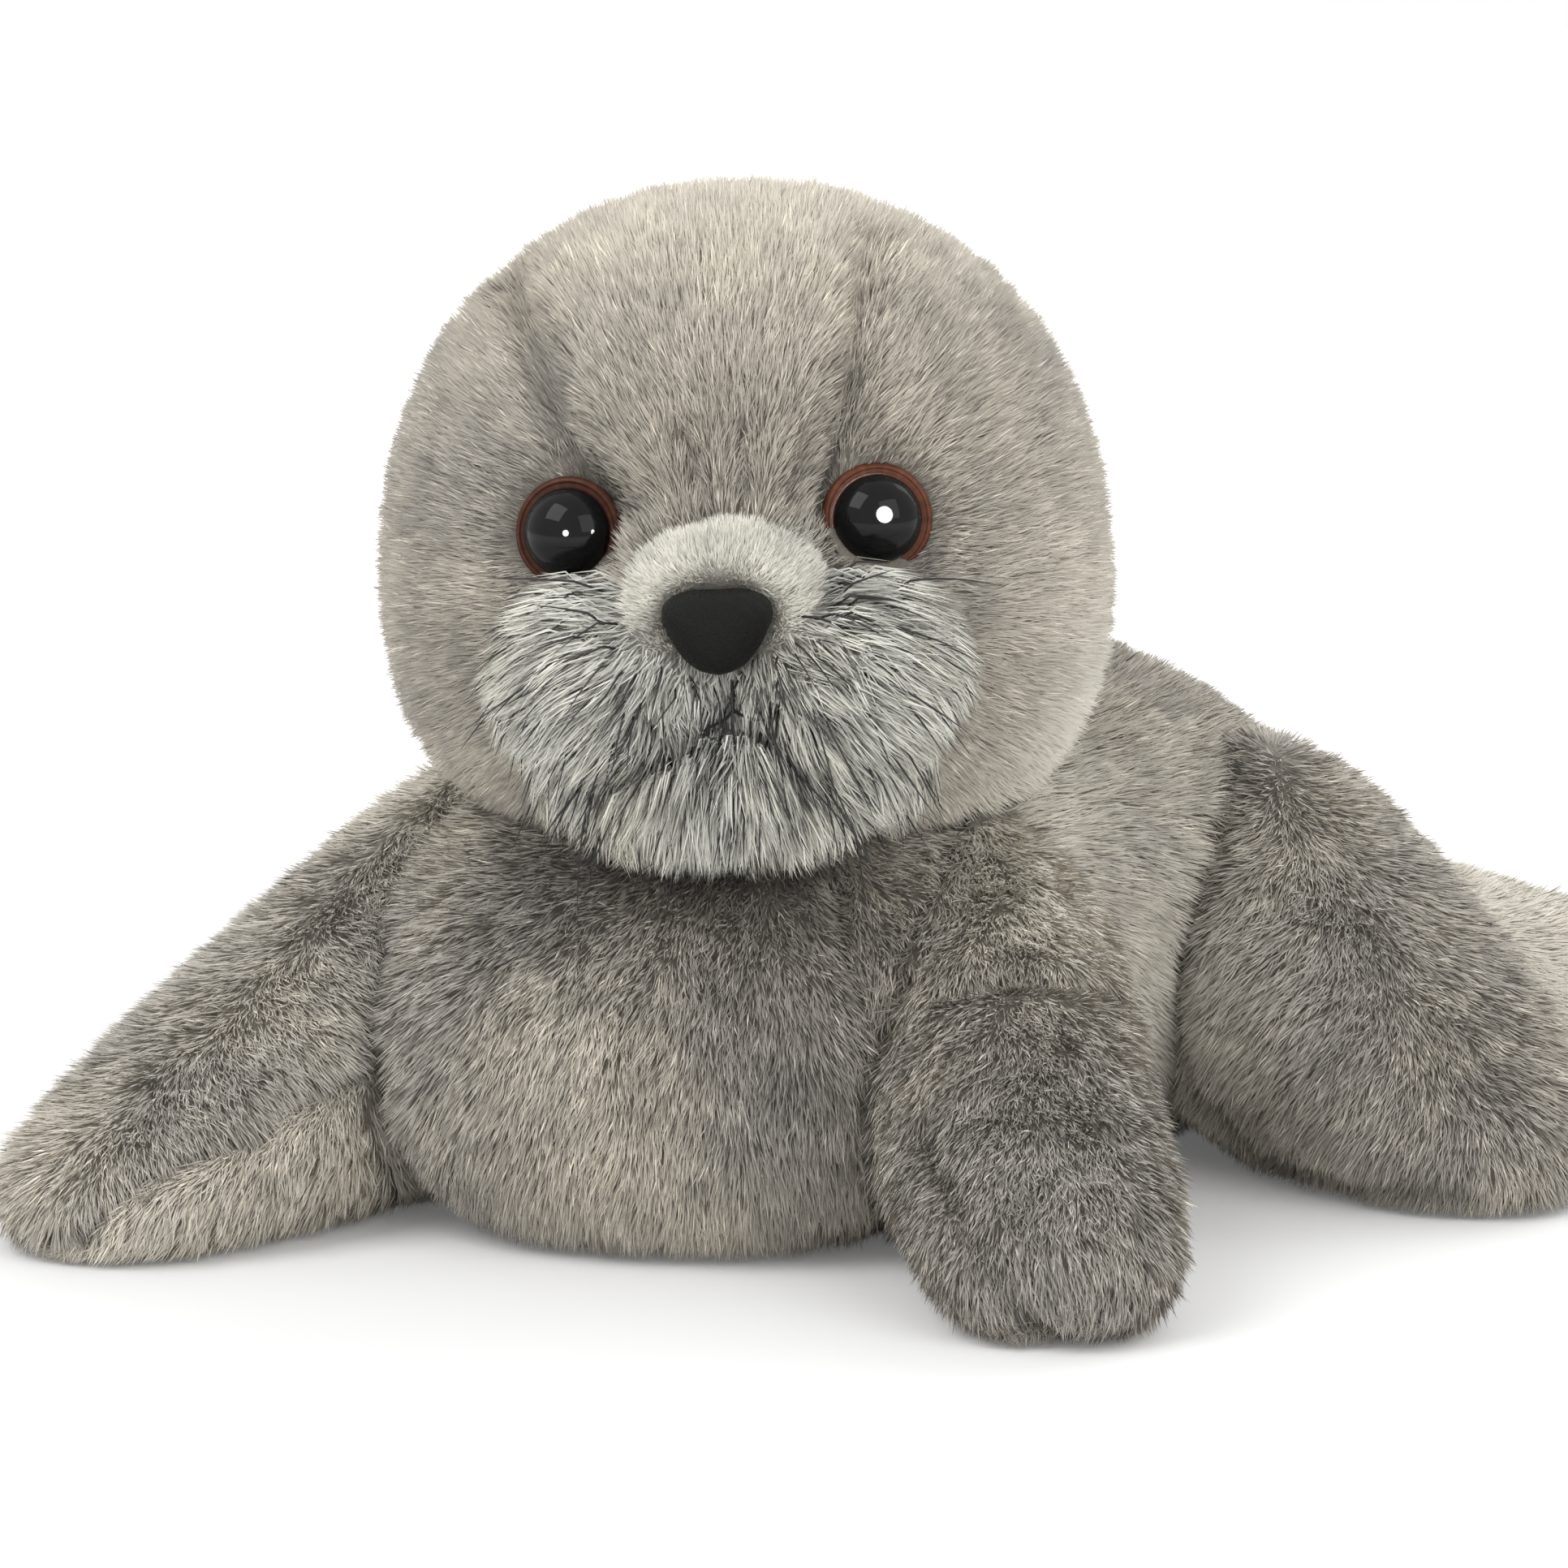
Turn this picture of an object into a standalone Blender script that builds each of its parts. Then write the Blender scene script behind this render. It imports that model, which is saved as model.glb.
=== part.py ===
"""Stuffed toy seal lying on its belly with its head turned to its left.

Metres, +Z up. The seal faces -Y and the ground is z = 0. Left and right are the seal's own.
Each stuffed section is one solid, cut to its neighbours with a small clearance at the seam.
"""
import math
from collections import namedtuple

import bmesh
import bpy
from mathutils import Matrix, Vector

# Driving dimensions
SEAM_GAP = 0.0003
SMOOTHING_LEVELS = 2

TORSO_LENGTH = 0.200
TORSO_WIDTH = 0.096
TORSO_HEIGHT = 0.075
TORSO_HEADING = math.radians(-19)
TORSO_BEND = math.radians(60)
BELLY_FLAT = 0.006
TORSO_SQUARENESS = 0.86
CHEST_FRONT = Vector((0.008, -0.055, 0.0))

HEAD_WIDTH = 0.103
HEAD_HEIGHT = 0.101
HEAD_DEPTH = 0.096
HEAD_TURN = math.radians(28.5)
HEAD_ROLL = math.radians(3)
HEAD_SINK = 0.026
HEAD_STATION = 0.27
HEAD_ASIDE = 0.0008

# Places on the head: levels from its base upwards, and set back from its front or reaching past it
PAD_WIDTH = 0.032
PAD_DEPTH = 0.030
PAD_HEIGHT = 0.028
PAD_SPACING = 0.026
PAD_LEVEL = 0.036
PAD_SET_BACK = 0.003
CHIN_WIDTH = 0.052
CHIN_DEPTH = 0.030
CHIN_HEIGHT = 0.022
CHIN_LEVEL = 0.0245
CHIN_SET_BACK = 0.006
BRIDGE_WIDTH = 0.033
BRIDGE_DEPTH = 0.034
BRIDGE_HEIGHT = 0.022
BRIDGE_LEVEL = 0.0475
BRIDGE_SET_BACK = 0.004

EYE_SPACING = 0.0428
EYE_LEVEL = 0.0562
EYE_SET_BACK = 0.0095
EYE_TOE_OUT = math.radians(14)
EYE_TILT = math.radians(8)
IRIS_DIAMETER = 0.0158
IRIS_THICKNESS = 0.0016
IRIS_RIM = 0.0006
PUPIL_DIAMETER = 0.0124
PUPIL_HEIGHT = 0.0050
STEM_DIAMETER = 0.0040
EYE_STEM_LENGTH = 0.0110
WASHER_DIAMETER = 0.0120
WASHER_THICKNESS = 0.0018
FABRIC_GRIP = 0.0030
SEAT_MOUTH = 0.0120

NOSE_WIDTH = 0.0150
NOSE_HEIGHT = 0.0120
NOSE_DEPTH = 0.0110
NOSE_TAPER = 0.30
NOSE_CORNERS = 0.09
NOSE_CORNER_TURN = math.radians(30)
NOSE_LEVEL = 0.0447
NOSE_REACH = 0.0110
NOSE_TILT = math.radians(12)
NOSE_BACKING = 0.0033
NOSE_STEM_LENGTH = 0.0085

# The crown gusset runs between two sewn grooves, from the brows over the head to the nape
GUSSET_BROW = 0.30
GUSSET_FLARE = 0.27
GUSSET_SWAY = -0.08
GUSSET_START = math.radians(18)
GUSSET_END = math.radians(196)
GUSSET_POINTS = 11
GROOVE_WIDTH = 0.0042
GROOVE_DEPTH = 0.0013

# Before the ground cuts it flat, a flipper's sole lies this far under it, and its last ring over it
SOLE_DEPTH = 0.005
TIP_LIFT = 0.001

ROUND_SEGMENTS = 16
BALL_SEGMENTS = 14
DOME_STEPS = 6

Ring = namedtuple("Ring", "centre side up")
# flank is the side it grows from, 1 for left, and root_sink how far inside that flank it starts.
# root_drop is how far the root's top lies under the torso's, and droop how late the top line falls.
Flipper = namedtuple(
    "Flipper",
    "name station flank root_sink heading length root_drop tip_top droop root_lift "
    "root_width mid_width tip_width",
)

FLIPPERS = (
    Flipper(
        name="front_flipper_right", station=0.29, flank=-1, root_sink=0.012,
        heading=math.radians(197), length=0.097,
        root_drop=0.003, tip_top=0.012, droop=1.15, root_lift=0.0,
        root_width=0.042, mid_width=0.046, tip_width=0.036,
    ),
    Flipper(
        name="front_flipper_left", station=0.33, flank=1, root_sink=0.017,
        heading=math.radians(139), length=0.089,
        root_drop=0.007, tip_top=0.016, droop=1.4, root_lift=0.0,
        root_width=0.047, mid_width=0.041, tip_width=0.038,
    ),
    Flipper(
        name="hind_flipper_left", station=0.68, flank=1, root_sink=0.022,
        heading=math.radians(104), length=0.075,
        root_drop=0.007, tip_top=0.011, droop=1.6, root_lift=0.012,
        root_width=0.060, mid_width=0.052, tip_width=0.036,
    ),
    Flipper(
        name="hind_flipper_right", station=0.80, flank=0, root_sink=0.0,
        heading=math.radians(28), length=0.092,
        root_drop=0.034, tip_top=0.015, droop=1.4, root_lift=0.0,
        root_width=0.036, mid_width=0.040, tip_width=0.030,
    ),
)

# Each flipper ring's share of the length, and its shares of the root, middle and tip widths
FLIPPER_PROFILE = (
    (0.06, 0.75, 0.00, 0.00),
    (0.25, 1.00, 0.00, 0.00),
    (0.48, 0.00, 1.00, 0.00),
    (0.70, 0.00, 1.00, 0.00),
    (0.88, 0.00, 0.00, 1.00),
    (0.97, 0.00, 0.00, 0.60),
)

# Shares of the torso's length, width, height and belly flat at each ring
TORSO_PROFILE = (
    (0.020, 0.60, 0.60, -1.0),
    (0.100, 0.90, 0.84, 0.7),
    (0.230, 1.02, 0.95, 1.0),
    (0.390, 1.02, 1.00, 1.0),
    (0.560, 0.99, 1.05, 1.0),
    (0.720, 0.86, 0.94, 0.8),
    (0.860, 0.66, 0.68, 0.6),
    (0.960, 0.38, 0.45, -0.4),
)

# Shares of the head's height, width and depth at each level, and the forward shift
HEAD_PROFILE = (
    (0.040, 0.50, 0.50, 0.00),
    (0.140, 0.84, 0.86, 0.02),
    (0.300, 1.00, 1.00, 0.03),
    (0.480, 1.01, 1.02, 0.01),
    (0.660, 0.96, 0.97, -0.02),
    (0.830, 0.77, 0.77, -0.03),
    (0.950, 0.44, 0.44, -0.03),
)

# Worked out: how far forward of the head's axis each feature stands
HEAD_FRONT = HEAD_DEPTH / 2
PAD_FORWARD = HEAD_FRONT - PAD_SET_BACK
CHIN_FORWARD = HEAD_FRONT - CHIN_SET_BACK
BRIDGE_FORWARD = HEAD_FRONT - BRIDGE_SET_BACK
EYE_FORWARD = HEAD_FRONT - EYE_SET_BACK
NOSE_FORWARD = HEAD_FRONT + NOSE_REACH


def clear_scene():
    for obj in list(bpy.data.objects):
        bpy.data.objects.remove(obj, do_unlink=True)


def make_collection(name):
    collection = bpy.data.collections.new(name)
    bpy.context.scene.collection.children.link(collection)
    return collection


def make_material(name, colour, roughness):
    material = bpy.data.materials.new(name)
    material.use_nodes = True
    shader = material.node_tree.nodes["Principled BSDF"]
    shader.inputs["Base Color"].default_value = (*colour, 1.0)
    shader.inputs["Roughness"].default_value = roughness
    shader.inputs["Metallic"].default_value = 0.0
    return material


def add_object(name, mesh, collection, material=None):
    obj = bpy.data.objects.new(name, mesh)
    collection.objects.link(obj)
    if material:
        mesh.materials.append(material)
    if collection is cutters:
        obj.hide_render = True
        obj.display_type = "WIRE"
    return obj


def finish_mesh(name, bm):
    bmesh.ops.recalc_face_normals(bm, faces=bm.faces)
    mesh = bpy.data.meshes.new(name)
    bm.to_mesh(mesh)
    bm.free()
    mesh.shade_smooth()
    return mesh


def subdivide(obj):
    modifier = obj.modifiers.new("Smooth", "SUBSURF")
    modifier.levels = SMOOTHING_LEVELS
    modifier.render_levels = SMOOTHING_LEVELS


def cut(obj, cutter, operation="DIFFERENCE"):
    modifier = obj.modifiers.new(cutter.name, "BOOLEAN")
    modifier.object = cutter
    modifier.operation = operation
    modifier.solver = "EXACT"


def clearance_copy(obj):
    """A cutter: the same shape grown by the seam gap."""
    copy = obj.copy()
    copy.name = obj.name + "_clearance"
    cutters.objects.link(copy)
    copy.hide_render = True
    copy.display_type = "WIRE"
    modifier = copy.modifiers.new("Grow", "DISPLACE")
    modifier.strength = SEAM_GAP
    modifier.mid_level = 0.0
    return copy


def squared(value, squareness):
    return math.copysign(abs(value) ** squareness, value)


def cage_mesh(name, rings, start, end, sides=10, squareness=1.0):
    """Quads between rings of equal count, closed by a fan to a point at each end."""
    bm = bmesh.new()
    # A subdivided ring lies inside its cage by this ratio
    ratio = (2 + math.cos(2 * math.pi / sides)) / 3
    rows = []
    for ring in rings:
        row = []
        for step in range(sides):
            angle = 2 * math.pi * (step + 0.5) / sides
            across = squared(math.cos(angle), squareness)
            upward = squared(math.sin(angle), squareness)
            offset = ring.side * across + ring.up * upward
            row.append(bm.verts.new(ring.centre + offset / ratio))
        rows.append(row)
    for row, after in zip(rows, rows[1:]):
        for step in range(sides):
            ahead = (step + 1) % sides
            bm.faces.new((row[step], row[ahead], after[ahead], after[step]))
    for row, point in ((rows[0], start), (rows[-1], end)):
        pole = bm.verts.new(point)
        for step in range(sides):
            bm.faces.new((row[step], row[(step + 1) % sides], pole))
    return finish_mesh(name, bm)


def turned(name, profile, place, collection, material=None, closed=False):
    """A profile of (radius, height) pairs, down its outer side, turned about its own Z."""
    mesh = bpy.data.meshes.new(name)
    edges = [(index, index + 1) for index in range(len(profile) - 1)]
    if closed:
        edges.append((len(profile) - 1, 0))
    mesh.from_pydata([(radius, 0, height) for radius, height in profile], edges, [])
    obj = add_object(name, mesh, collection, material)
    obj.matrix_world = place
    screw = obj.modifiers.new("Turn", "SCREW")
    screw.steps = ROUND_SEGMENTS
    screw.render_steps = ROUND_SEGMENTS
    screw.use_merge_vertices = True
    screw.merge_threshold = 0.00001
    return obj


def rounded(name, size, place, collection, material=None):
    """A ball stretched to its width, depth and height."""
    bm = bmesh.new()
    bmesh.ops.create_uvsphere(bm, u_segments=BALL_SEGMENTS, v_segments=BALL_SEGMENTS // 2, radius=0.5)
    bmesh.ops.transform(bm, matrix=Matrix.Diagonal((*size, 1.0)), verts=bm.verts)
    obj = add_object(name, finish_mesh(name, bm), collection, material)
    obj.matrix_world = place
    return obj


def spine(share):
    """Point and heading on the plan arc of the back, from the chest to the tail."""
    radius = TORSO_LENGTH / TORSO_BEND
    turn = TORSO_HEADING + TORSO_BEND * share
    across = math.cos(TORSO_HEADING) - math.cos(turn)
    forward = math.sin(turn) - math.sin(TORSO_HEADING)
    point = CHEST_FRONT + radius * Vector((across, forward, 0))
    return point, Vector((math.sin(turn), math.cos(turn), 0))


def upright_ring(point, heading, width, top, bottom):
    side = Vector((heading.y, -heading.x, 0)) * (width / 2)
    up = Vector((0, 0, (top - bottom) / 2))
    return Ring(point + Vector((0, 0, (top + bottom) / 2)), side, up)


def make_torso():
    rings = []
    for share, width, height, flat in TORSO_PROFILE:
        point, heading = spine(share)
        rings.append(upright_ring(
            point, heading, TORSO_WIDTH * width, TORSO_HEIGHT * height, -BELLY_FLAT * flat))
    start = spine(0)[0] + Vector((0, 0, rings[0].centre.z))
    end = spine(1)[0] + Vector((0, 0, rings[-1].centre.z))
    mesh = cage_mesh("torso", rings, start, end, squareness=TORSO_SQUARENESS)
    torso = add_object("torso", mesh, parts, fur)
    subdivide(torso)
    return torso


def head_matrix():
    point, heading = spine(HEAD_STATION)
    base = point + Vector((0, 0, TORSO_HEIGHT - HEAD_SINK))
    turn = Matrix.Rotation(HEAD_TURN, 4, "Z")
    base += turn @ Vector((HEAD_ASIDE, 0, 0))
    middle = Matrix.Translation((0, 0, HEAD_HEIGHT / 2))
    roll = middle @ Matrix.Rotation(-HEAD_ROLL, 4, "Y") @ middle.inverted()
    return Matrix.Translation(base) @ turn @ roll


def make_head(place):
    rings = []
    for share, width, depth, shift in HEAD_PROFILE:
        centre = Vector((0, -HEAD_DEPTH * shift, HEAD_HEIGHT * share))
        side = Vector((HEAD_WIDTH / 2 * width, 0, 0))
        up = Vector((0, HEAD_DEPTH / 2 * depth, 0))
        rings.append(Ring(centre, side, up))
    mesh = cage_mesh("head", rings, Vector((0, 0, 0)), Vector((0, 0, HEAD_HEIGHT)))
    mesh.transform(place)
    head = add_object("head", mesh, parts, fur)
    subdivide(head)
    return head


def make_flipper(spec):
    """A tapering stuffed paddle from inside the torso, down to the ground at its tip."""
    point, heading = spine(spec.station)
    side = Vector((heading.y, -heading.x, 0))
    start = point + side * spec.flank * (TORSO_WIDTH / 2 - spec.root_sink)
    along = Vector((math.sin(spec.heading), math.cos(spec.heading), 0))
    root_top = TORSO_HEIGHT - spec.root_drop
    rings = []
    for share, root, middle, tip in FLIPPER_PROFILE:
        width = spec.root_width * root + spec.mid_width * middle + spec.tip_width * tip
        top = root_top - (root_top - spec.tip_top) * share ** spec.droop
        bottom = -SOLE_DEPTH + spec.root_lift * max(0, 1 - 2 * share)
        if share == FLIPPER_PROFILE[-1][0]:
            bottom = TIP_LIFT
        rings.append(upright_ring(start + along * spec.length * share, along, width, top, bottom))
    first = rings[0].centre
    last = start + along * spec.length + Vector((0, 0, rings[-1].centre.z))
    mesh = cage_mesh(spec.name, rings, first, last, sides=8)
    flipper = add_object(spec.name, mesh, parts, fur)
    subdivide(flipper)
    return flipper


def on_head(across, forward, level):
    return head_place @ Matrix.Translation((across, -forward, level))


def make_muzzle():
    """Two whisker pads, the chin and the bridge of the nose, stuffed as one snout."""
    pad = (PAD_WIDTH, PAD_DEPTH, PAD_HEIGHT)
    chin = (CHIN_WIDTH, CHIN_DEPTH, CHIN_HEIGHT)
    bridge = (BRIDGE_WIDTH, BRIDGE_DEPTH, BRIDGE_HEIGHT)
    muzzle = rounded("muzzle", pad, on_head(PAD_SPACING / 2, PAD_FORWARD, PAD_LEVEL), parts, long_fur)
    lobes = (
        rounded("right_pad", pad, on_head(-PAD_SPACING / 2, PAD_FORWARD, PAD_LEVEL), cutters),
        rounded("chin", chin, on_head(0, CHIN_FORWARD, CHIN_LEVEL), cutters),
        rounded("bridge", bridge, on_head(0, BRIDGE_FORWARD, BRIDGE_LEVEL), cutters),
    )
    for lobe in lobes:
        cut(muzzle, lobe, "UNION")
    return muzzle


def stem_washer(name, place):
    """The lock washer pressed on a stem behind the fabric."""
    inner = STEM_DIAMETER / 2 + SEAM_GAP
    outer = WASHER_DIAMETER / 2
    top = -FABRIC_GRIP
    bottom = top - WASHER_THICKNESS
    profile = ((inner, top), (outer, top), (outer, bottom), (inner, bottom))
    return turned(name, profile, place, parts, washer_plastic, closed=True)


def seat_profile(flange_radius, stem_length):
    """The hollow for a flange, its stem and its washer, open to the front."""
    stem = STEM_DIAMETER / 2 + SEAM_GAP
    washer = WASHER_DIAMETER / 2 + SEAM_GAP
    washer_top = SEAM_GAP - FABRIC_GRIP
    washer_bottom = -FABRIC_GRIP - WASHER_THICKNESS - SEAM_GAP
    return (
        (0, SEAT_MOUTH),
        (flange_radius + SEAM_GAP, SEAT_MOUTH),
        (flange_radius + SEAM_GAP, -SEAM_GAP),
        (stem, -SEAM_GAP),
        (stem, washer_top),
        (washer, washer_top),
        (washer, washer_bottom),
        (stem, washer_bottom),
        (stem, -stem_length - SEAM_GAP),
        (0, -stem_length - SEAM_GAP),
    )


def make_eye(side, sign):
    """A domed pupil whose stem holds the iris ring and the fabric against a washer."""
    aim = Vector((
        sign * math.sin(EYE_TOE_OUT), -math.cos(EYE_TOE_OUT) * math.cos(EYE_TILT), math.sin(EYE_TILT)))
    turn = aim.to_track_quat("Z", "Y").to_matrix().to_4x4()
    place = on_head(sign * EYE_SPACING / 2, EYE_FORWARD, EYE_LEVEL) @ turn
    hole = STEM_DIAMETER / 2 + SEAM_GAP
    outer = IRIS_DIAMETER / 2
    pupil = PUPIL_DIAMETER / 2
    dish = IRIS_THICKNESS - IRIS_RIM
    ring = (
        (hole, dish),
        (pupil + IRIS_RIM, dish),
        (outer - IRIS_RIM, IRIS_THICKNESS),
        (outer, dish),
        (outer, 0),
        (hole, 0),
    )
    turned("eye_iris_" + side, ring, place, parts, brown_plastic, closed=True)
    base = dish + SEAM_GAP
    dome = []
    for step in range(DOME_STEPS + 1):
        angle = math.pi / 2 * (1 - step / DOME_STEPS)
        dome.append((pupil * math.cos(angle), base + PUPIL_HEIGHT * math.sin(angle)))
    dome[0] = (0, base + PUPIL_HEIGHT)
    stem = STEM_DIAMETER / 2
    dome += [(stem, base), (stem, -EYE_STEM_LENGTH), (0, -EYE_STEM_LENGTH)]
    turned("eye_pupil_" + side, dome, place, parts, black_plastic)
    stem_washer("eye_washer_" + side, place)
    return turned("eye_seat_" + side, seat_profile(outer, EYE_STEM_LENGTH), place, cutters)


def make_nose():
    """A rounded triangle, wide at the top, on a stem through the front of the snout."""
    tilt = Matrix.Rotation(-NOSE_TILT, 4, "X")
    place = on_head(0, NOSE_FORWARD, NOSE_LEVEL) @ tilt
    nose = rounded("nose", (NOSE_WIDTH, NOSE_DEPTH, NOSE_HEIGHT), place, parts, black_plastic)
    for vertex in nose.data.vertices:
        rise = vertex.co.z / NOSE_HEIGHT
        vertex.co.x *= 1 + NOSE_TAPER * 2 * rise
        angle = math.atan2(vertex.co.z, vertex.co.x)
        corner = 1 + NOSE_CORNERS * math.cos(3 * (angle - NOSE_CORNER_TURN))
        vertex.co.x *= corner
        vertex.co.z *= corner
    # The stem's own Z runs forward out of the face
    forward = place @ Matrix.Rotation(math.radians(90), 4, "X")
    stem = STEM_DIAMETER / 2
    profile = ((0, 0), (stem, 0), (stem, -NOSE_STEM_LENGTH), (0, -NOSE_STEM_LENGTH))
    cut(nose, turned("nose_stem", profile, forward, cutters), "UNION")
    behind = forward @ Matrix.Translation((0, 0, -NOSE_BACKING))
    washer = stem_washer("nose_washer", behind)
    return nose, washer


def groove(name, points):
    """A tube along the points, as a closed mesh that can cut."""
    curve = bpy.data.curves.new(name, "CURVE")
    curve.dimensions = "3D"
    curve.bevel_depth = GROOVE_WIDTH / 2
    curve.bevel_resolution = 2
    curve.use_fill_caps = True
    spline = curve.splines.new("POLY")
    spline.points.add(len(points) - 1)
    for place, point in zip(spline.points, points):
        place.co = (*point, 1)
    route = add_object(name + "_route", curve, cutters)
    graph = bpy.context.evaluated_depsgraph_get()
    mesh = bpy.data.meshes.new_from_object(route.evaluated_get(graph))
    bpy.data.objects.remove(route)
    bm = bmesh.new()
    bm.from_mesh(mesh)
    bmesh.ops.remove_doubles(bm, verts=bm.verts, dist=0.00001)
    return add_object(name, finish_mesh(name, bm), cutters)


def make_gusset_grooves():
    """The two seams of the crown, laid on the head by rays from its middle."""
    bpy.context.view_layer.update()
    surface = head.evaluated_get(bpy.context.evaluated_depsgraph_get())
    middle = on_head(0, 0, HEAD_HEIGHT / 2).to_translation()
    turn = head_place.to_3x3()
    grooves = []
    for side, sign in (("left", 1), ("right", -1)):
        points = []
        for step in range(GUSSET_POINTS):
            angle = GUSSET_START + (GUSSET_END - GUSSET_START) * step / (GUSSET_POINTS - 1)
            spread = sign * GUSSET_BROW + (sign * GUSSET_FLARE + GUSSET_SWAY) * math.sin(angle)
            ray = (turn @ Vector((spread, -math.cos(angle), math.sin(angle)))).normalized()
            hit, point, normal, face = surface.ray_cast(middle, ray)
            points.append(point + ray * (GROOVE_WIDTH / 2 - GROOVE_DEPTH))
        grooves.append(groove("gusset_seam_" + side, points))
    return grooves


def make_floor():
    """Everything below the ground, so that what rests has a flat sole."""
    bm = bmesh.new()
    bmesh.ops.create_cube(bm, size=1)
    mesh = finish_mesh("floor", bm)
    mesh.transform(Matrix.Translation((0, 0, -0.5)))
    return add_object("floor", mesh, cutters)


clear_scene()
parts = make_collection("plush_seal")
cutters = make_collection("cutters")
fur = make_material("frosted_fur", (0.42, 0.39, 0.36), 0.9)
long_fur = make_material("long_white_fur", (0.60, 0.58, 0.54), 0.9)
brown_plastic = make_material("brown_plastic", (0.10, 0.03, 0.012), 0.15)
black_plastic = make_material("black_plastic", (0.008, 0.008, 0.008), 0.12)
washer_plastic = make_material("washer_plastic", (0.75, 0.75, 0.72), 0.4)

torso = make_torso()
head_place = head_matrix()
head = make_head(head_place)
grooves = make_gusset_grooves()
flippers = [make_flipper(spec) for spec in FLIPPERS]
muzzle = make_muzzle()
nose, nose_washer = make_nose()
eye_seats = [make_eye("left", 1), make_eye("right", -1)]

floor = make_floor()
torso_seat = clearance_copy(torso)
head_seat = clearance_copy(head)
cut(torso, floor)
cut(head, torso_seat)
for seam in grooves:
    cut(head, seam)
cut(muzzle, head_seat)
for seat in eye_seats:
    cut(head, seat)
    cut(muzzle, seat)
cut(muzzle, clearance_copy(nose))
cut(muzzle, clearance_copy(nose_washer))
for flipper in flippers:
    cut(flipper, torso_seat)
    cut(flipper, head_seat)
    cut(flipper, floor)
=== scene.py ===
"""Looks of a stuffed plush seal that lies on its belly with its head turned.

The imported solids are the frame. Every stuffed section gets a sewn skin, blown up a little by a
short cloth simulation, and on each skin stands a pile of bent blades worked out with numpy. The
eyes, the nose, the whiskers and the mouth thread are surfaces on a grid or along a path.
Lengths are in metres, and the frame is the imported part's own: +Z up, the seal faces -Y.
"""

import logging
import math
from dataclasses import dataclass, field
from enum import Enum

import bmesh
import bpy
import numpy as np
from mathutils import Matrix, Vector
from mathutils.bvhtree import BVHTree


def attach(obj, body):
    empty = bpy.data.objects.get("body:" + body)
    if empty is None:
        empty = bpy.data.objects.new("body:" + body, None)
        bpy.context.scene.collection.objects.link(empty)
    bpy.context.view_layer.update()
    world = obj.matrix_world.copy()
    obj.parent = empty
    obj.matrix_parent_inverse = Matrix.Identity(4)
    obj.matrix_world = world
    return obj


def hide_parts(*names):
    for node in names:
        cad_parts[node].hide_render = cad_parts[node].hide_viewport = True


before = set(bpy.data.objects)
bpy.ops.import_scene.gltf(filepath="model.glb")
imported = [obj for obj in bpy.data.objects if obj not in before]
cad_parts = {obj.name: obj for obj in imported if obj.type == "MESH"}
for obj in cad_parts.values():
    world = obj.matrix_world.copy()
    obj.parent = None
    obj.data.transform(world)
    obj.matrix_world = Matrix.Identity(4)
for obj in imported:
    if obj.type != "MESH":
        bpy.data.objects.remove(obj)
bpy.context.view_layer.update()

LOG = logging.getLogger("plush_seal")
Array = np.ndarray
Triple = tuple[float, float, float]
Colour = Triple
MM = 0.001
BODY = "root"
FLOOR_CLEARANCE = 0.3 * MM
WELD = 0.01 * MM


def unit(vectors: Array) -> Array:
    """Scale vectors along the last axis to length one.

    Args:
        vectors: any array whose last axis holds x, y and z.

    Returns:
        The same directions with length one.
    """
    lengths = np.linalg.norm(vectors, axis=-1, keepdims=True)
    return vectors / np.maximum(lengths, 1e-12)


def smooth_step(low: float, high: float, values: Array) -> Array:
    """Ease from 0 at low to 1 at high, as 3t² − 2t³ of the clipped share t."""
    share = np.clip((values - low) / (high - low), 0.0, 1.0)
    return share * share * (3.0 - 2.0 * share)


def ripple(points: Array, wavelength: float, seed: int, waves: int = 9) -> Array:
    """Soft noise: the sum of a few sine waves that run in seeded directions.

    Args:
        points: places, one row each.
        wavelength: typical distance between crests.
        seed: picks the directions and phases.
        waves: how many sines are added.

    Returns:
        One value for each point, mostly between -1 and 1.
    """
    rng = np.random.default_rng(seed)
    ways = unit(rng.normal(size=(waves, 3)))
    ways *= 2.0 * math.pi / (wavelength * rng.uniform(0.6, 1.7, (waves, 1)))
    phases = rng.uniform(0.0, 2.0 * math.pi, waves)
    return np.sin(points @ ways.T + phases).sum(axis=1) / math.sqrt(waves)


def nearest_rows(points: Array, cloud: Array, block: int = 2048) -> Array:
    """Find the nearest cloud row for each point: the least |q|² − 2 p·q, a block at a time.

    Args:
        points: places to look from.
        cloud: places to look among.
        block: how many points are compared at once.

    Returns:
        One row number of the cloud for each point.
    """
    squares = (cloud ** 2).sum(axis=1)
    parts = np.array_split(points, max(1, len(points) // block))
    return np.concatenate([np.argmin(squares - 2.0 * part @ cloud.T, axis=1) for part in parts])


def path_gap(points: Array, path: Array) -> tuple[Array, Array]:
    """Distance from each point to the nearest point of a dense path, and that row.

    Args:
        points: places to measure from.
        path: the path's points, close together.

    Returns:
        The distances, and the row number of the nearest path point.
    """
    rows = nearest_rows(points, path)
    return np.linalg.norm(points - path[rows], axis=1), rows


def dense_path(points: Array, step: float) -> Array:
    """Fill a path's straight runs with points a step apart or less.

    Args:
        points: the path's corners in order, in two or three directions.
        step: the widest gap wanted along the path.

    Returns:
        The points, evenly spaced by length.
    """
    runs = np.linalg.norm(np.diff(points, axis=0), axis=1)
    along = np.concatenate([[0.0], np.cumsum(runs)])
    wanted = np.linspace(0.0, along[-1], max(2, int(along[-1] / step) + 1))
    return np.stack([np.interp(wanted, along, points[:, axis]) for axis in range(points.shape[1])], axis=1)


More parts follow.
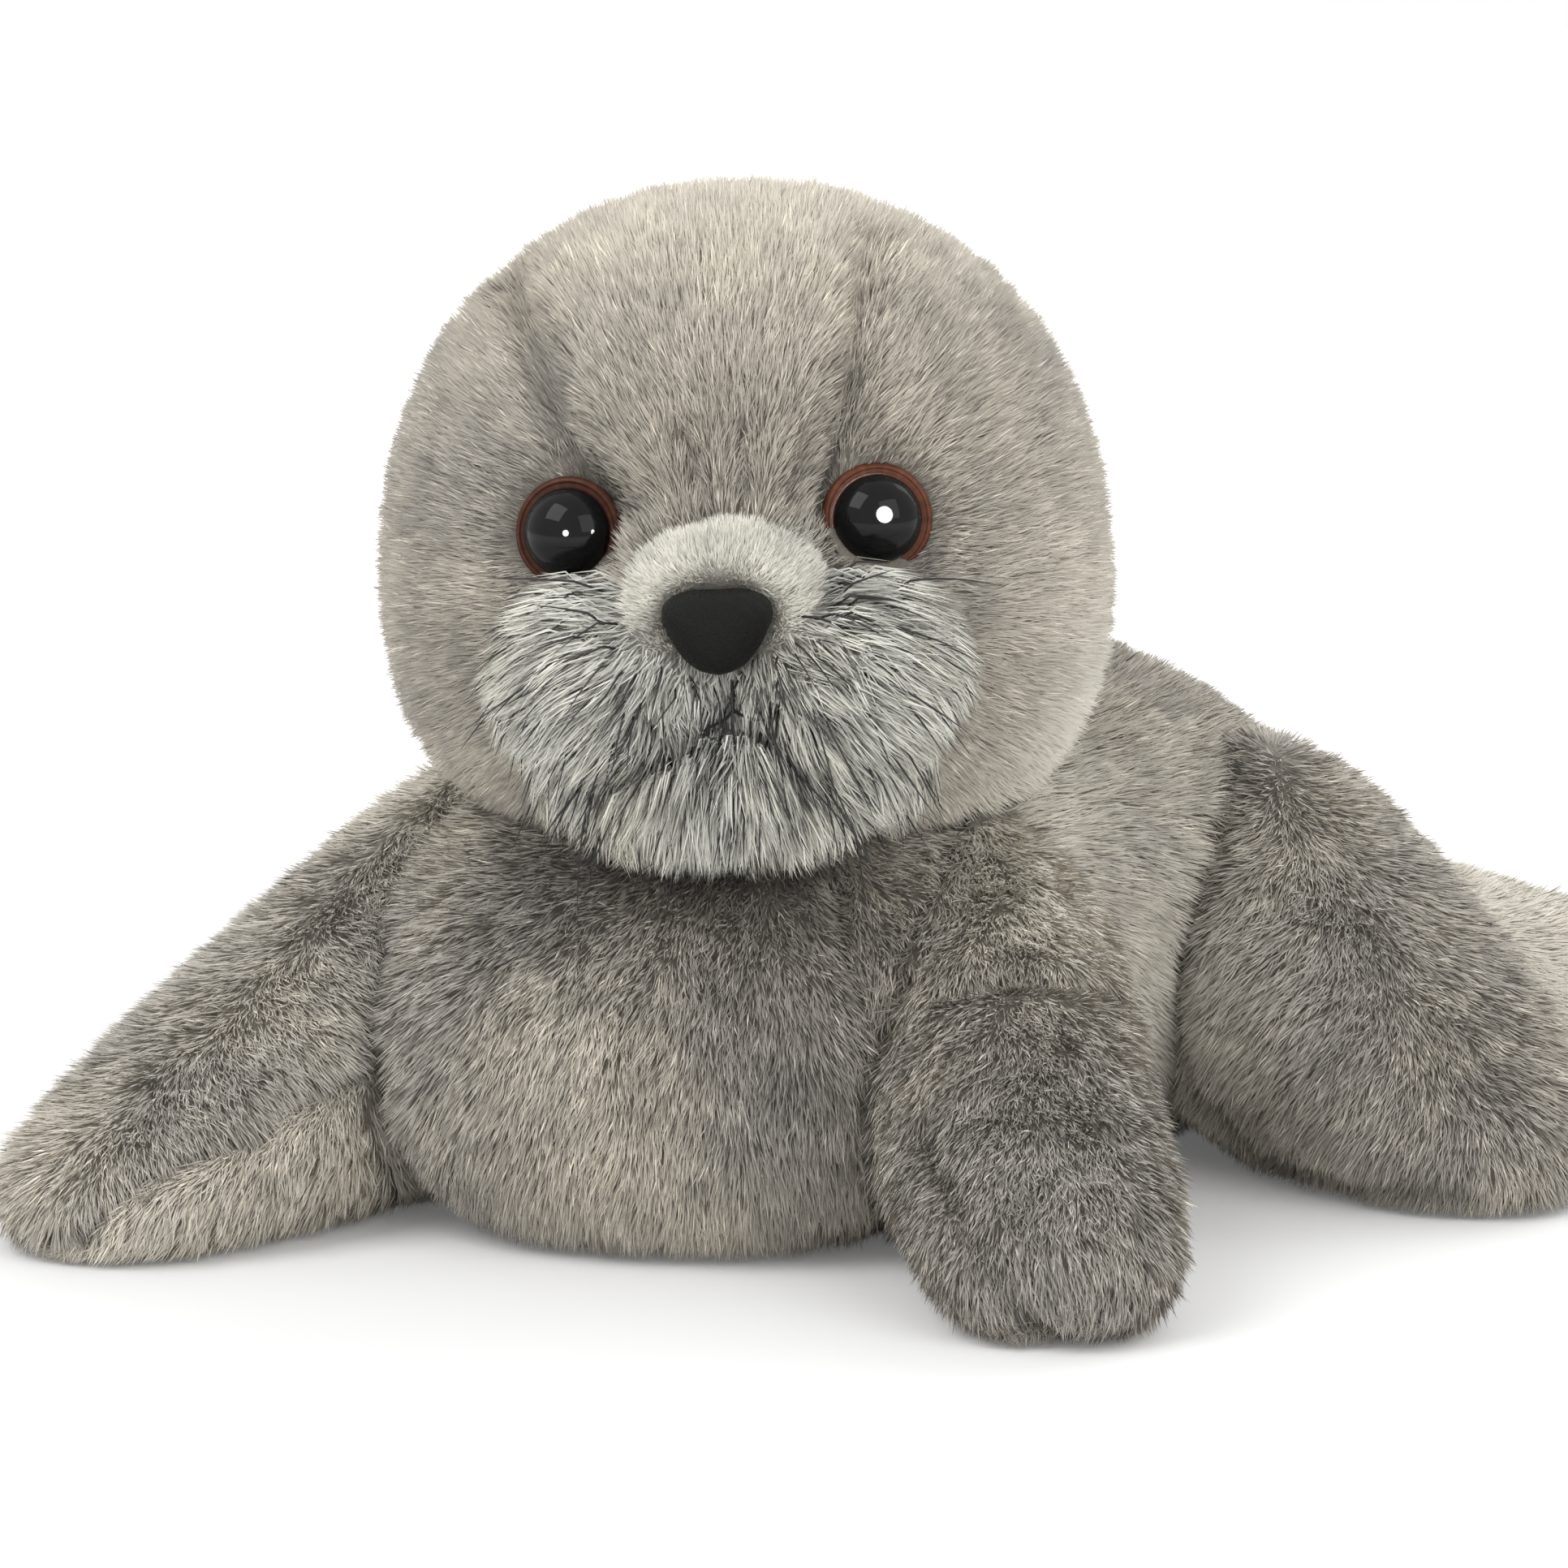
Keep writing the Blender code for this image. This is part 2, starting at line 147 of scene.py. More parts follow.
def inside(spots: Array, outline: Array) -> Array:
    """Whether each spot lies in a closed outline: a level line from it crosses it an odd number of times.

    Args:
        spots: rows of x and y.
        outline: the outline's corners in order.

    Returns:
        True for each spot inside.
    """
    start, end = outline, np.roll(outline, -1, axis=0)
    x, y = spots[:, :1], spots[:, 1:]
    between = (start[:, 1] > y) != (end[:, 1] > y)
    rise = np.where(start[:, 1] == end[:, 1], 1e-9, end[:, 1] - start[:, 1])
    crossing = start[:, 0] + (y - start[:, 1]) * (end[:, 0] - start[:, 0]) / rise
    return (between & (x < crossing)).sum(axis=1) % 2 == 1


def new_mesh(name: str, places: Array, faces: Array) -> bpy.types.Mesh:
    """Put arrays into a mesh whose faces shade smooth.

    Args:
        name: the mesh's name.
        places: vertex places, one row each.
        faces: vertex rows of each face, all with the same number of corners.

    Returns:
        The new mesh.
    """
    mesh = bpy.data.meshes.new(name)
    count, corners = faces.shape
    mesh.vertices.add(len(places))
    mesh.vertices.foreach_set("co", places.astype(np.float32).ravel())
    mesh.loops.add(faces.size)
    mesh.loops.foreach_set("vertex_index", faces.astype(np.int32).ravel())
    mesh.polygons.add(count)
    mesh.polygons.foreach_set("loop_start", np.arange(count, dtype=np.int32) * corners)
    mesh.polygons.foreach_set("loop_total", np.full(count, corners, np.int32))
    mesh.update(calc_edges=True)
    mesh.polygons.foreach_set("use_smooth", np.full(count, True))
    return mesh


def new_object(name: str, mesh: bpy.types.Mesh) -> bpy.types.Object:
    """Link a mesh into the scene as an object at the origin.

    Args:
        name: the object's name.
        mesh: its mesh.

    Returns:
        The object.
    """
    piece = bpy.data.objects.new(name, mesh)
    bpy.context.scene.collection.objects.link(piece)
    return piece


def joined_copy(node: str, name: str) -> bpy.types.Object:
    """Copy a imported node, with its loose triangles joined at their corners.

    Args:
        node: the frame node.
        name: the copy's name.

    Returns:
        The copy.
    """
    grid = bmesh.new()
    grid.from_mesh(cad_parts[node].data)
    bmesh.ops.remove_doubles(grid, verts=grid.verts, dist=WELD)
    mesh = bpy.data.meshes.new(name)
    grid.to_mesh(mesh)
    grid.free()
    return new_object(name, mesh)


def put_uv(mesh: bpy.types.Mesh, name: str, spots: Array) -> None:
    """Give each corner the map place of its vertex.

    Args:
        mesh: the mesh to map.
        name: the map's name.
        spots: one map place for each vertex.
    """
    layer = mesh.uv_layers.new(name=name)
    rows = np.empty(len(mesh.loops), np.int32)
    mesh.loops.foreach_get("vertex_index", rows)
    layer.data.foreach_set("uv", spots[rows].astype(np.float32).ravel())


def put_values(mesh: bpy.types.Mesh, name: str, values: Array) -> None:
    """Store four values for each vertex as a colour attribute."""
    layer = mesh.attributes.new(name, "FLOAT_COLOR", "POINT")
    layer.data.foreach_set("color", values.astype(np.float32).ravel())


def settled_mesh(piece: bpy.types.Object) -> bpy.types.Mesh:
    """Work a piece's modifiers into a new mesh and leave the piece without them.

    Args:
        piece: the piece with its modifiers.

    Returns:
        The mesh that they make.
    """
    mesh = bpy.data.meshes.new_from_object(piece.evaluated_get(bpy.context.evaluated_depsgraph_get()))
    piece.modifiers.clear()
    return mesh


def subdivide(piece: bpy.types.Object, levels: int) -> None:
    """Work a rounding subdivision into a piece's mesh.

    Args:
        piece: the piece.
        levels: how many times each face is cut in four.
    """
    modifier = piece.modifiers.new("finer", "SUBSURF")
    modifier.levels = levels
    modifier.render_levels = levels
    piece.data = settled_mesh(piece)


def only_material(piece: bpy.types.Object, material: bpy.types.Material) -> None:
    """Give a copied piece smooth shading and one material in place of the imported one.

    Args:
        piece: the copy.
        material: its material.
    """
    piece.data.materials.clear()
    piece.data.materials.append(material)
    piece.data.polygons.foreach_set("use_smooth", np.full(len(piece.data.polygons), True))


def place_on_frame(piece: bpy.types.Object) -> None:
    """Let a finished piece ride the seal's only body and log its face count.

    Args:
        piece: the piece.
    """
    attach(piece, BODY)
    LOG.info("%s: %d faces", piece.name, len(piece.data.polygons))


@dataclass
class Surface:
    """A closed skin as arrays: vertex places, outward normals and triangles."""

    places: Array
    normals: Array
    faces: Array
    close: float = 6 * MM

    @classmethod
    def of_mesh(cls, mesh: bpy.types.Mesh) -> "Surface":
        """Read a mesh into arrays.

        Args:
            mesh: a closed mesh.

        Returns:
            Its surface.
        """
        places = np.empty(len(mesh.vertices) * 3, np.float32)
        normals = np.empty(len(mesh.vertices) * 3, np.float32)
        mesh.vertices.foreach_get("co", places)
        mesh.vertices.foreach_get("normal", normals)
        mesh.calc_loop_triangles()
        faces = np.empty(len(mesh.loop_triangles) * 3, np.int32)
        mesh.loop_triangles.foreach_get("vertices", faces)
        rows = [values.reshape(-1, 3) for values in (places, normals, faces)]
        return cls(rows[0].astype(float), rows[1].astype(float), rows[2])

    def areas(self) -> Array:
        """Area of each triangle: half the length of its edges' cross product."""
        a, b, c = (self.places[self.faces[:, corner]] for corner in range(3))
        return 0.5 * np.linalg.norm(np.cross(b - a, c - a), axis=1)

    def height_over(self, points: Array) -> tuple[Array, Array]:
        """Signed height of points over this surface, and the normal of the nearest place.

        Close by, the height is measured along the nearest normal. Farther off it is the whole
        distance, and a point counts as inside only where its way runs against that normal,
        within 60 degrees.

        Args:
            points: places to measure.

        Returns:
            The heights, below zero inside, and those normals.
        """
        rows = nearest_rows(points, self.places)
        away, normals = points - self.places[rows], self.normals[rows]
        gap = np.linalg.norm(away, axis=1)
        height = (away * normals).sum(axis=1)
        far = np.where(height < -0.5 * gap, -gap, gap)
        return np.where(gap < self.close, height, far), normals


@dataclass(frozen=True)
class PhotoCamera:
    """The photograph's own view: where it looks from, and its scale in pixels for each millimetre."""

    target: Triple = (0.01016, -0.00943, 0.064)
    azimuth: float = math.radians(32.0)
    elevation: float = math.radians(10.0)
    distance: float = 0.9
    pixels_per_metre: float = 8500.0
    frame_pixels: int = 1932
    sensor_mm: float = 36.0

    def back(self) -> Array:
        """Direction from the target to the camera.

        Returns:
            A unit direction.
        """
        level = math.cos(self.elevation)
        aside, ahead = math.sin(self.azimuth) * level, math.cos(self.azimuth) * level
        return np.array((aside, -ahead, math.sin(self.elevation)))

    def place(self) -> Array:
        """Where the camera stands."""
        return np.array(self.target) + self.back() * self.distance

    def sides(self) -> tuple[Array, Array]:
        """Directions to the right and up in the photograph."""
        right = unit(np.cross((0.0, 0.0, 1.0), self.back()))
        return right, np.cross(self.back(), right)

    def rays(self, pixels: Array) -> Array:
        """Directions of the rays through places of the photograph.

        Args:
            pixels: rows of x and y in the photograph's pixels, from its top left.

        Returns:
            One unit direction for each row.
        """
        right, up = self.sides()
        away = (np.asarray(pixels, float) - self.frame_pixels / 2) / (self.pixels_per_metre * self.distance)
        return unit(away[:, :1] * right - away[:, 1:] * up - self.back())

    def pixels(self, places: Array) -> Array:
        """Find where places show in the photograph.

        Args:
            places: rows of x, y and z.

        Returns:
            Rows of x and y in the photograph's pixels.
        """
        right, up = self.sides()
        away = places - self.place()
        scale = self.pixels_per_metre * self.distance / (away @ -self.back())
        return self.frame_pixels / 2 + np.stack([(away @ right) * scale, -(away @ up) * scale], axis=1)

    def add(self) -> None:
        """Put the camera into the scene and make it the active one."""
        data = bpy.data.cameras.new("photo_camera")
        data.sensor_width = self.sensor_mm
        data.lens = self.pixels_per_metre * self.distance / self.frame_pixels * self.sensor_mm
        camera = bpy.data.objects.new("photo_camera", data)
        camera.location = self.place()
        camera.rotation_euler = Vector(-self.back()).to_track_quat("-Z", "Y").to_euler()
        bpy.context.scene.collection.objects.link(camera)
        bpy.context.scene.camera = camera


@dataclass
class HeadFrame:
    """The head's own directions, worked out from the two eye rings of the frame."""

    eye_forward: float = 0.0385
    eye_level: float = 0.0562
    eye_tilt: float = math.radians(8.0)
    nose_forward: float = 0.0590
    nose_level: float = 0.0447

    def __post_init__(self) -> None:
        """Fit a centre and an axis to each ring: the mean, and the way it is thinnest."""
        self.eyes: dict[str, tuple[Array, Array]] = {}
        for side in ("left", "right"):
            places = Surface.of_mesh(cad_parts["eye_iris_" + side].data).places
            centre = (places.min(axis=0) + places.max(axis=0)) / 2
            thin = np.linalg.eigh(np.cov((places - centre).T))[1][:, 0]
            self.eyes[side] = (centre, thin if thin[1] < 0 else -thin)
        (left, left_axis), (right, right_axis) = self.eyes["left"], self.eyes["right"]
        self.across = unit(left - right)
        ahead = unit(left_axis + right_axis)
        over = unit(np.cross(self.across, -ahead))
        self.forward = math.cos(self.eye_tilt) * ahead - math.sin(self.eye_tilt) * over
        self.up = math.sin(self.eye_tilt) * ahead + math.cos(self.eye_tilt) * over
        self.origin = (left + right) / 2 - self.eye_forward * self.forward - self.eye_level * self.up

    def to_head(self, points: Array) -> Array:
        """Turn places into the head's across, forward and level distances."""
        return (points - self.origin) @ np.stack([self.across, self.forward, self.up]).T

    def from_head(self, across: float, forward: float, level: float) -> Array:
        """Place of a point given by the head's own directions."""
        return self.origin + across * self.across + forward * self.forward + level * self.up

    def nose(self) -> Array:
        """Middle of the nose's front."""
        return self.from_head(0.0, self.nose_forward, self.nose_level)


Stops = tuple[tuple[float, float], ...]
Input = bpy.types.NodeSocket | Colour | float
MIX_COLOUR_INPUTS = (0, 6, 7)
MIX_COLOUR_OUTPUT = 2


class Nodes:
    """Builds one material's node tree with short calls."""

    def __init__(self, name: str) -> None:
        """Start a tree that holds one Principled shader.

        Args:
            name: the material's name.
        """
        self.material = bpy.data.materials.new(name)
        self.material.use_nodes = True
        self.tree = self.material.node_tree
        self.shader = self.tree.nodes["Principled BSDF"]

    def add(self, kind: str, **values: object) -> bpy.types.Node:
        """Add a node and set its properties.

        Args:
            kind: the node's type, without its first word.
            values: its properties by name.

        Returns:
            The node.
        """
        node = self.tree.nodes.new("ShaderNode" + kind)
        for name, value in values.items():
            setattr(node, name, value)
        return node

    def wire(self, source: bpy.types.NodeSocket, target: bpy.types.NodeSocket) -> None:
        """Join an output to an input."""
        self.tree.links.new(source, target)

    def noise(self, scale: float, detail: float) -> bpy.types.NodeSocket:
        """Noise on Object coordinates.

        Args:
            scale: how many spots fit in a metre.
            detail: octaves of finer noise.

        Returns:
            The socket with the noise's value.
        """
        texture = self.add("TexNoise")
        texture.inputs["Scale"].default_value = scale
        texture.inputs["Detail"].default_value = detail
        self.wire(self.add("TexCoord").outputs["Object"], texture.inputs["Vector"])
        return texture.outputs["Fac"]

    def curve(self, value: bpy.types.NodeSocket, stops: Stops) -> bpy.types.NodeSocket:
        """Turn a value into another through straight runs between stops.

        Args:
            value: the socket to read.
            stops: pairs of a value and what it turns into.

        Returns:
            The socket with the new value.
        """
        ramp = self.add("ValToRGB")
        elements = ramp.color_ramp.elements
        while len(elements) < len(stops):
            elements.new(0.5)
        for element, (position, level) in zip(elements, stops):
            element.position = position
            element.color = (level, level, level, 1.0)
        self.wire(value, ramp.inputs["Fac"])
        return ramp.outputs["Color"]

    def feed(self, socket: bpy.types.NodeSocket, value: Input) -> None:
        """Wire an input, or set it to a number or a colour.

        Args:
            socket: the input.
            value: an output, a number, or a colour's red, green and blue.
        """
        if isinstance(value, bpy.types.NodeSocket):
            self.wire(value, socket)
        else:
            socket.default_value = (*value, 1.0) if isinstance(value, tuple) else value

    def sum(self, operation: str, first: Input, second: Input) -> bpy.types.NodeSocket:
        """Calculate with two values.

        Args:
            operation: the calculation's name.
            first: a socket or a number.
            second: a socket or a number.

        Returns:
            The socket with the result.
        """
        node = self.add("Math", operation=operation)
        for socket, value in zip(node.inputs, (first, second)):
            self.feed(socket, value)
        return node.outputs["Value"]

    def mix(self, share: Input, first: Input, second: Input, blend: str = "MIX") -> bpy.types.NodeSocket:
        """Mix two colours, each a socket or a tuple.

        Args:
            share: how much of the second, a socket or a number.
            first: the first colour.
            second: the second colour.
            blend: how the second goes over the first.

        Returns:
            The socket with the mixed colour.
        """
        node = self.add("Mix", data_type="RGBA", blend_type=blend, clamp_factor=True)
        for row, value in zip(MIX_COLOUR_INPUTS, (share, first, second)):
            self.feed(node.inputs[row], value)
        return node.outputs[MIX_COLOUR_OUTPUT]

    def bump(self, height: bpy.types.NodeSocket, distance: float) -> None:
        """Raise the surface by a height pattern.

        Args:
            height: the socket with the pattern.
            distance: how far the pattern's whole height is.
        """
        node = self.add("Bump")
        node.inputs["Strength"].default_value = 1.0
        node.inputs["Distance"].default_value = distance
        self.wire(height, node.inputs["Height"])
        self.wire(node.outputs["Normal"], self.shader.inputs["Normal"])

    def set(self, **values: object) -> None:
        """Set the shader's sockets, with underscores for the spaces in their names."""
        for name, value in values.items():
            self.shader.inputs[name.replace("_", " ")].default_value = value


class DarkPart(Enum):
    """Which part of a marked hair is dark."""

    WHOLE = "whole"
    TIP = "tip"


@dataclass(frozen=True)
class PileFinish:
    """Fur fibre: two ground colours, dark roots, a spread of lighter and darker hairs."""

    name: str
    grey: Colour
    cream: Colour
    dark: Colour
    frost: Colour
    root_level: float
    spread: Stops
    dark_part: DarkPart = DarkPart.WHOLE
    mottle_scale: float = 55.0
    mottle_share: float = 1.1
    cloud_scale: float = 140.0
    clouds: Stops = ((0.3, 0.78), (0.7, 1.12))
    frost_share: float = 0.9
    tip_stops: Stops = ((0.1, 0.0), (0.5, 1.0))
    roughness: float = 0.55

    def material(self) -> bpy.types.Material:
        """Make the material from the strand attribute: along, chance, cream and shade.

        A shade over zero marks a blade dark, and one below zero lightens it.

        Returns:
            A material that reads each blade's own values and a fine mottle of the whole coat.
        """
        nodes = Nodes(self.name)
        strand = nodes.add("Attribute", attribute_name="strand")
        values = nodes.add("SeparateColor")
        nodes.wire(strand.outputs["Color"], values.inputs["Color"])
        along, chance, cream = (values.outputs[name] for name in ("Red", "Green", "Blue"))
        shade = strand.outputs["Alpha"]
        mottle = nodes.sum("SUBTRACT", nodes.noise(self.mottle_scale, 4.0), 0.5)
        share = nodes.sum("ADD", cream, nodes.sum("MULTIPLY", mottle, self.mottle_share))
        ground = nodes.mix(share, self.grey, self.cream)
        for value, stops in (
            (nodes.noise(self.cloud_scale, 3.0), self.clouds),
            (chance, self.spread),
            (along, ((0.0, self.root_level), (0.75, 1.0))),
        ):
            ground = nodes.mix(1.0, ground, nodes.curve(value, stops), "MULTIPLY")
        lighter = nodes.sum("MAXIMUM", nodes.sum("MULTIPLY", shade, -1.0), 0.0)
        ground = nodes.mix(nodes.sum("MULTIPLY", lighter, self.frost_share), ground, self.frost)
        marked = nodes.sum("MAXIMUM", shade, 0.0)
        if self.dark_part is DarkPart.TIP:
            marked = nodes.sum("MULTIPLY", marked, nodes.curve(along, self.tip_stops))
        nodes.wire(nodes.mix(marked, ground, self.dark), nodes.shader.inputs["Base Color"])
        nodes.set(Roughness=self.roughness, Specular_IOR_Level=0.35, Sheen_Weight=0.15, Sheen_Roughness=0.5)
        return nodes.material


@dataclass(frozen=True)
class BackingFinish:
    """Knitted backing cloth under the pile: fine loops, darker between them. Its colours are set darker than
    the pile, as painted shade under the hair.
    """

    name: str
    light: Colour
    dark: Colour
    loop_scale: float = 1400.0
    loop_height: float = 0.4 * MM
    cloud_scale: float = 60.0

    def material(self) -> bpy.types.Material:
        """Make the backing from two noises, one for the loops and one for the cloudy dye.

        Returns:
            The material.
        """
        nodes = Nodes(self.name)
        loops = nodes.noise(self.loop_scale, 2.0)
        clouds = nodes.noise(self.cloud_scale, 4.0)
        share = nodes.sum("MULTIPLY", nodes.sum("ADD", loops, clouds), 0.5)
        nodes.wire(nodes.mix(share, self.dark, self.light), nodes.shader.inputs["Base Color"])
        nodes.bump(loops, self.loop_height)
        nodes.set(Roughness=0.92, Specular_IOR_Level=0.2, Sheen_Weight=0.2)
        return nodes.material


@dataclass(frozen=True)
class IrisFinish:
    """Clear brown plastic, darker to the middle, with fine rays and a paler rim."""

    name: str
    middle: Colour
    rim: Colour
    inner: Colour = (0.012, 0.005, 0.004)
    middle_stops: Stops = ((0.10, 0.0), (0.22, 1.0))
    rim_stops: Stops = ((0.24, 0.0), (0.36, 1.0))
    ray_scale: Triple = (40.0, 1.5, 1.0)
    ray_tones: Stops = ((0.3, 0.7), (0.7, 1.15))

    def material(self) -> bpy.types.Material:
        """Make the ring's colour from its own map, whose v runs from the middle to the edge.

        Returns:
            The material.
        """
        nodes = Nodes(self.name)
        spots = nodes.add("UVMap", uv_map="grid").outputs["UV"]
        parts = nodes.add("SeparateXYZ")
        nodes.wire(spots, parts.inputs["Vector"])
        reach = parts.outputs["Y"]
        rays = nodes.add("TexNoise")
        rays.inputs["Scale"].default_value = 1.0
        stretch = nodes.add("Mapping")
        stretch.inputs["Scale"].default_value = self.ray_scale
        nodes.wire(spots, stretch.inputs["Vector"])
        nodes.wire(stretch.outputs["Vector"], rays.inputs["Vector"])
        inner = nodes.mix(nodes.curve(reach, self.middle_stops), self.inner, self.middle)
        edge = nodes.mix(nodes.curve(reach, self.rim_stops), inner, self.rim)
        colour = nodes.mix(1.0, edge, nodes.curve(rays.outputs["Fac"], self.ray_tones), "MULTIPLY")
        nodes.wire(colour, nodes.shader.inputs["Base Color"])
        nodes.set(Roughness=0.25, Specular_IOR_Level=0.30, IOR=1.30)
        return nodes.material


@dataclass(frozen=True)
class PlasticFinish:
    """Moulded plastic: a nearly even colour, a fine surface grain and its gloss."""

    name: str
    light: Colour
    dark: Colour
    roughness: tuple[float, float]
    grain_scale: float
    grain_height: float
    shine: float = 0.5
    ior: float = 1.5

    def material(self) -> bpy.types.Material:
        """Make the plastic from one noise that tints it, dulls it and raises its grain.

        Returns:
            The material.
        """
        nodes = Nodes(self.name)
        grain = nodes.noise(self.grain_scale, 5.0)
        nodes.wire(nodes.mix(grain, self.dark, self.light), nodes.shader.inputs["Base Color"])
        low, high = self.roughness
        nodes.wire(nodes.curve(grain, ((0.35, low), (0.65, high))), nodes.shader.inputs["Roughness"])
        nodes.bump(grain, self.grain_height)
        nodes.set(Specular_IOR_Level=self.shine, IOR=self.ior)
        return nodes.material


BODY_PILE = PileFinish(
    name="frosted_pile",
    grey=(0.400, 0.372, 0.335),
    cream=(0.720, 0.655, 0.540),
    dark=(0.060, 0.053, 0.047),
    frost=(0.940, 0.900, 0.800),
    root_level=0.66,
    spread=((0.0, 0.66), (0.22, 0.92), (0.78, 1.02), (0.92, 1.22), (1.0, 2.1)),
)
MUZZLE_PILE = PileFinish(
    name="white_pile",
    grey=(0.720, 0.720, 0.675),
    cream=(0.925, 0.900, 0.775),
    dark=(0.012, 0.012, 0.012),
    frost=(0.950, 0.945, 0.900),
    root_level=0.50,
    spread=((0.0, 0.50), (0.2, 0.85), (0.75, 1.05), (1.0, 1.30)),
    dark_part=DarkPart.TIP,
)
BRIDGE_PILE = PileFinish(
    name="bridge_pile",
    grey=(0.760, 0.740, 0.670),
    cream=(0.930, 0.900, 0.800),
    dark=(0.10, 0.09, 0.08),
    frost=(0.930, 0.910, 0.840),
    root_level=0.86,
    spread=((0.0, 0.75), (0.2, 0.95), (0.8, 1.05), (1.0, 1.25)),
)
# Both backings are set darker than their pile: the cloth's colour with painted shade of the pile over it.
BODY_BACKING = BackingFinish("knitted_backing", (0.34, 0.31, 0.26), (0.14, 0.13, 0.11))
MUZZLE_BACKING = BackingFinish("white_backing", (0.62, 0.60, 0.54), (0.34, 0.33, 0.30))
IRISES = {
    "left": IrisFinish("iris_brown", middle=(0.080, 0.024, 0.012), rim=(0.145, 0.052, 0.029)),
    # The seal's right eye gets a darker copy of the same brown plastic: painted shade for the shade that eye
    # sits in.
    "right": IrisFinish("iris_shaded", middle=(0.040, 0.013, 0.008), rim=(0.078, 0.029, 0.018)),
}
PUPIL_PLASTIC = PlasticFinish(
    name="pupil_black",
    light=(0.010, 0.010, 0.011),
    dark=(0.004, 0.004, 0.004),
    roughness=(0.04, 0.06),
    grain_scale=300.0,
    grain_height=0.002 * MM,
    shine=0.5,
    ior=1.27,
)
NOSE_PLASTIC = PlasticFinish(
    name="nose_leathery",
    light=(0.007, 0.007, 0.006),
    dark=(0.002, 0.002, 0.002),
    roughness=(0.36, 0.56),
    grain_scale=2600.0,
    grain_height=0.34 * MM,
    shine=0.15,
)
WASHER_PLASTIC = PlasticFinish(
    name="washer_natural",
    light=(0.80, 0.80, 0.77),
    dark=(0.66, 0.66, 0.63),
    roughness=(0.4, 0.5),
    grain_scale=700.0,
    grain_height=0.01 * MM,
)
WHISKER_FIBRE = PlasticFinish(
    name="whisker_black",
    light=(0.020, 0.019, 0.018),
    dark=(0.006, 0.006, 0.006),
    roughness=(0.35, 0.5),
    grain_scale=900.0,
    grain_height=0.01 * MM,
)
MOUTH_THREAD = PlasticFinish(
    name="thread_charcoal",
    light=(0.050, 0.045, 0.040),
    dark=(0.012, 0.011, 0.010),
    roughness=(0.7, 0.9),
    grain_scale=3200.0,
    grain_height=0.08 * MM,
    shine=0.2,
)


@dataclass
class StuffedSection:
    """One sewn and stuffed section: its frame node, how it is remeshed and how far it may swell."""

    node: str
    voxel: float
    fill: float
    swell: float = 1.8 * MM
    slot: str = "body_fur"
    inset: float = 1.2 * MM
    open_gap: float = 4.0 * MM
    stuffing_pressure: float = 4.0
    piece: bpy.types.Object = field(init=False, default=None)
    surface: Surface = field(init=False, default=None)
    solid: Surface = field(init=False, default=None)

    def copy_node(self) -> None:
        """Copy the node and remesh it into even squares of the voxel's size."""
        self.piece = joined_copy(self.node, self.node + "_skin")
        modifier = self.piece.modifiers.new("even_squares", "REMESH")
        modifier.mode = "VOXEL"
        modifier.voxel_size = self.voxel
        self.piece.data = settled_mesh(self.piece)
        self.surface = Surface.of_mesh(self.piece.data)
        self.solid = self.surface

    def draw_back(self, neighbours: list["StuffedSection"]) -> None:
        """Sink the skin under the solid's surface where no neighbour is near.

        The solid ends half way up the pile, so an open place sinks by the inset, and a place
        against a neighbour stays, which keeps the sewn creases shallow.

        Args:
            neighbours: the other stuffed sections.
        """
        places, normals = self.surface.places, self.surface.normals
        gap = np.full(len(places), 1.0)
        for other in neighbours:
            gap = np.minimum(gap, np.abs(other.solid.height_over(places)[0]))
        sunk = self.inset * smooth_step(0.0, self.open_gap, gap)
        self.set_places(places - normals * sunk[:, None])

    def set_places(self, places: Array) -> None:
        """Move the skin's vertices, and keep them above the floor.

        Args:
            places: their new places.
        """
        places = places.copy()
        places[:, 2] = np.maximum(places[:, 2], FLOOR_CLEARANCE)
        self.piece.data.vertices.foreach_set("co", places.astype(np.float32).ravel())
        self.piece.data.update()
        self.surface = Surface.of_mesh(self.piece.data)

    def add_stuffing(self, last_frame: int) -> None:
        """Add the cloth modifier that presses the skin out from within.

        Args:
            last_frame: the frame at which the simulation ends.
        """
        modifier = self.piece.modifiers.new("stuffing", "CLOTH")
        modifier.point_cache.frame_end = last_frame
        settings = modifier.settings
        settings.quality = 5
        settings.use_pressure = True
        settings.uniform_pressure_force = self.stuffing_pressure
        settings.effector_weights.gravity = 0.0

    def keep_swell(self) -> None:
        """Take the simulated places, with each move cut to the cap, and drop the modifier."""
        start = self.surface.places
        mesh = settled_mesh(self.piece)
        moved = Surface.of_mesh(mesh).places - start
        bpy.data.meshes.remove(mesh)
        length = np.linalg.norm(moved, axis=1, keepdims=True)
        self.set_places(start + moved * np.minimum(1.0, self.swell / np.maximum(length, 1e-9)))

    def refine(self) -> None:
        """Subdivide once, so that seams and creases have vertices to draw in."""
        subdivide(self.piece, 1)
        self.set_places(Surface.of_mesh(self.piece.data).places)

    def finish(self, backing: bpy.types.Material) -> None:
        """Dress the skin, hide its imported node and hang the skin on the body.

        Args:
            backing: the cloth under the pile.
        """
        only_material(self.piece, backing)
        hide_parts(self.node)
        place_on_frame(self.piece)


def simulate_stuffing(sections: list[StuffedSection], last_frame: int = 20) -> None:
    """Blow all the skins up together with one short cloth simulation.

    Args:
        sections: the skins, drawn back from their solids.
        last_frame: how many frames are stepped.
    """
    scene = bpy.context.scene
    for section in sections:
        section.add_stuffing(last_frame)
    for step in range(1, last_frame + 1):
        scene.frame_set(step)
    for section in sections:
        section.keep_swell()
    scene.frame_set(1)


Spots = tuple[tuple[float, float], ...]
PIXEL_STEP = 6.0
PATH_STEP = 0.8 * MM
THREAD_STEP = 0.5 * MM


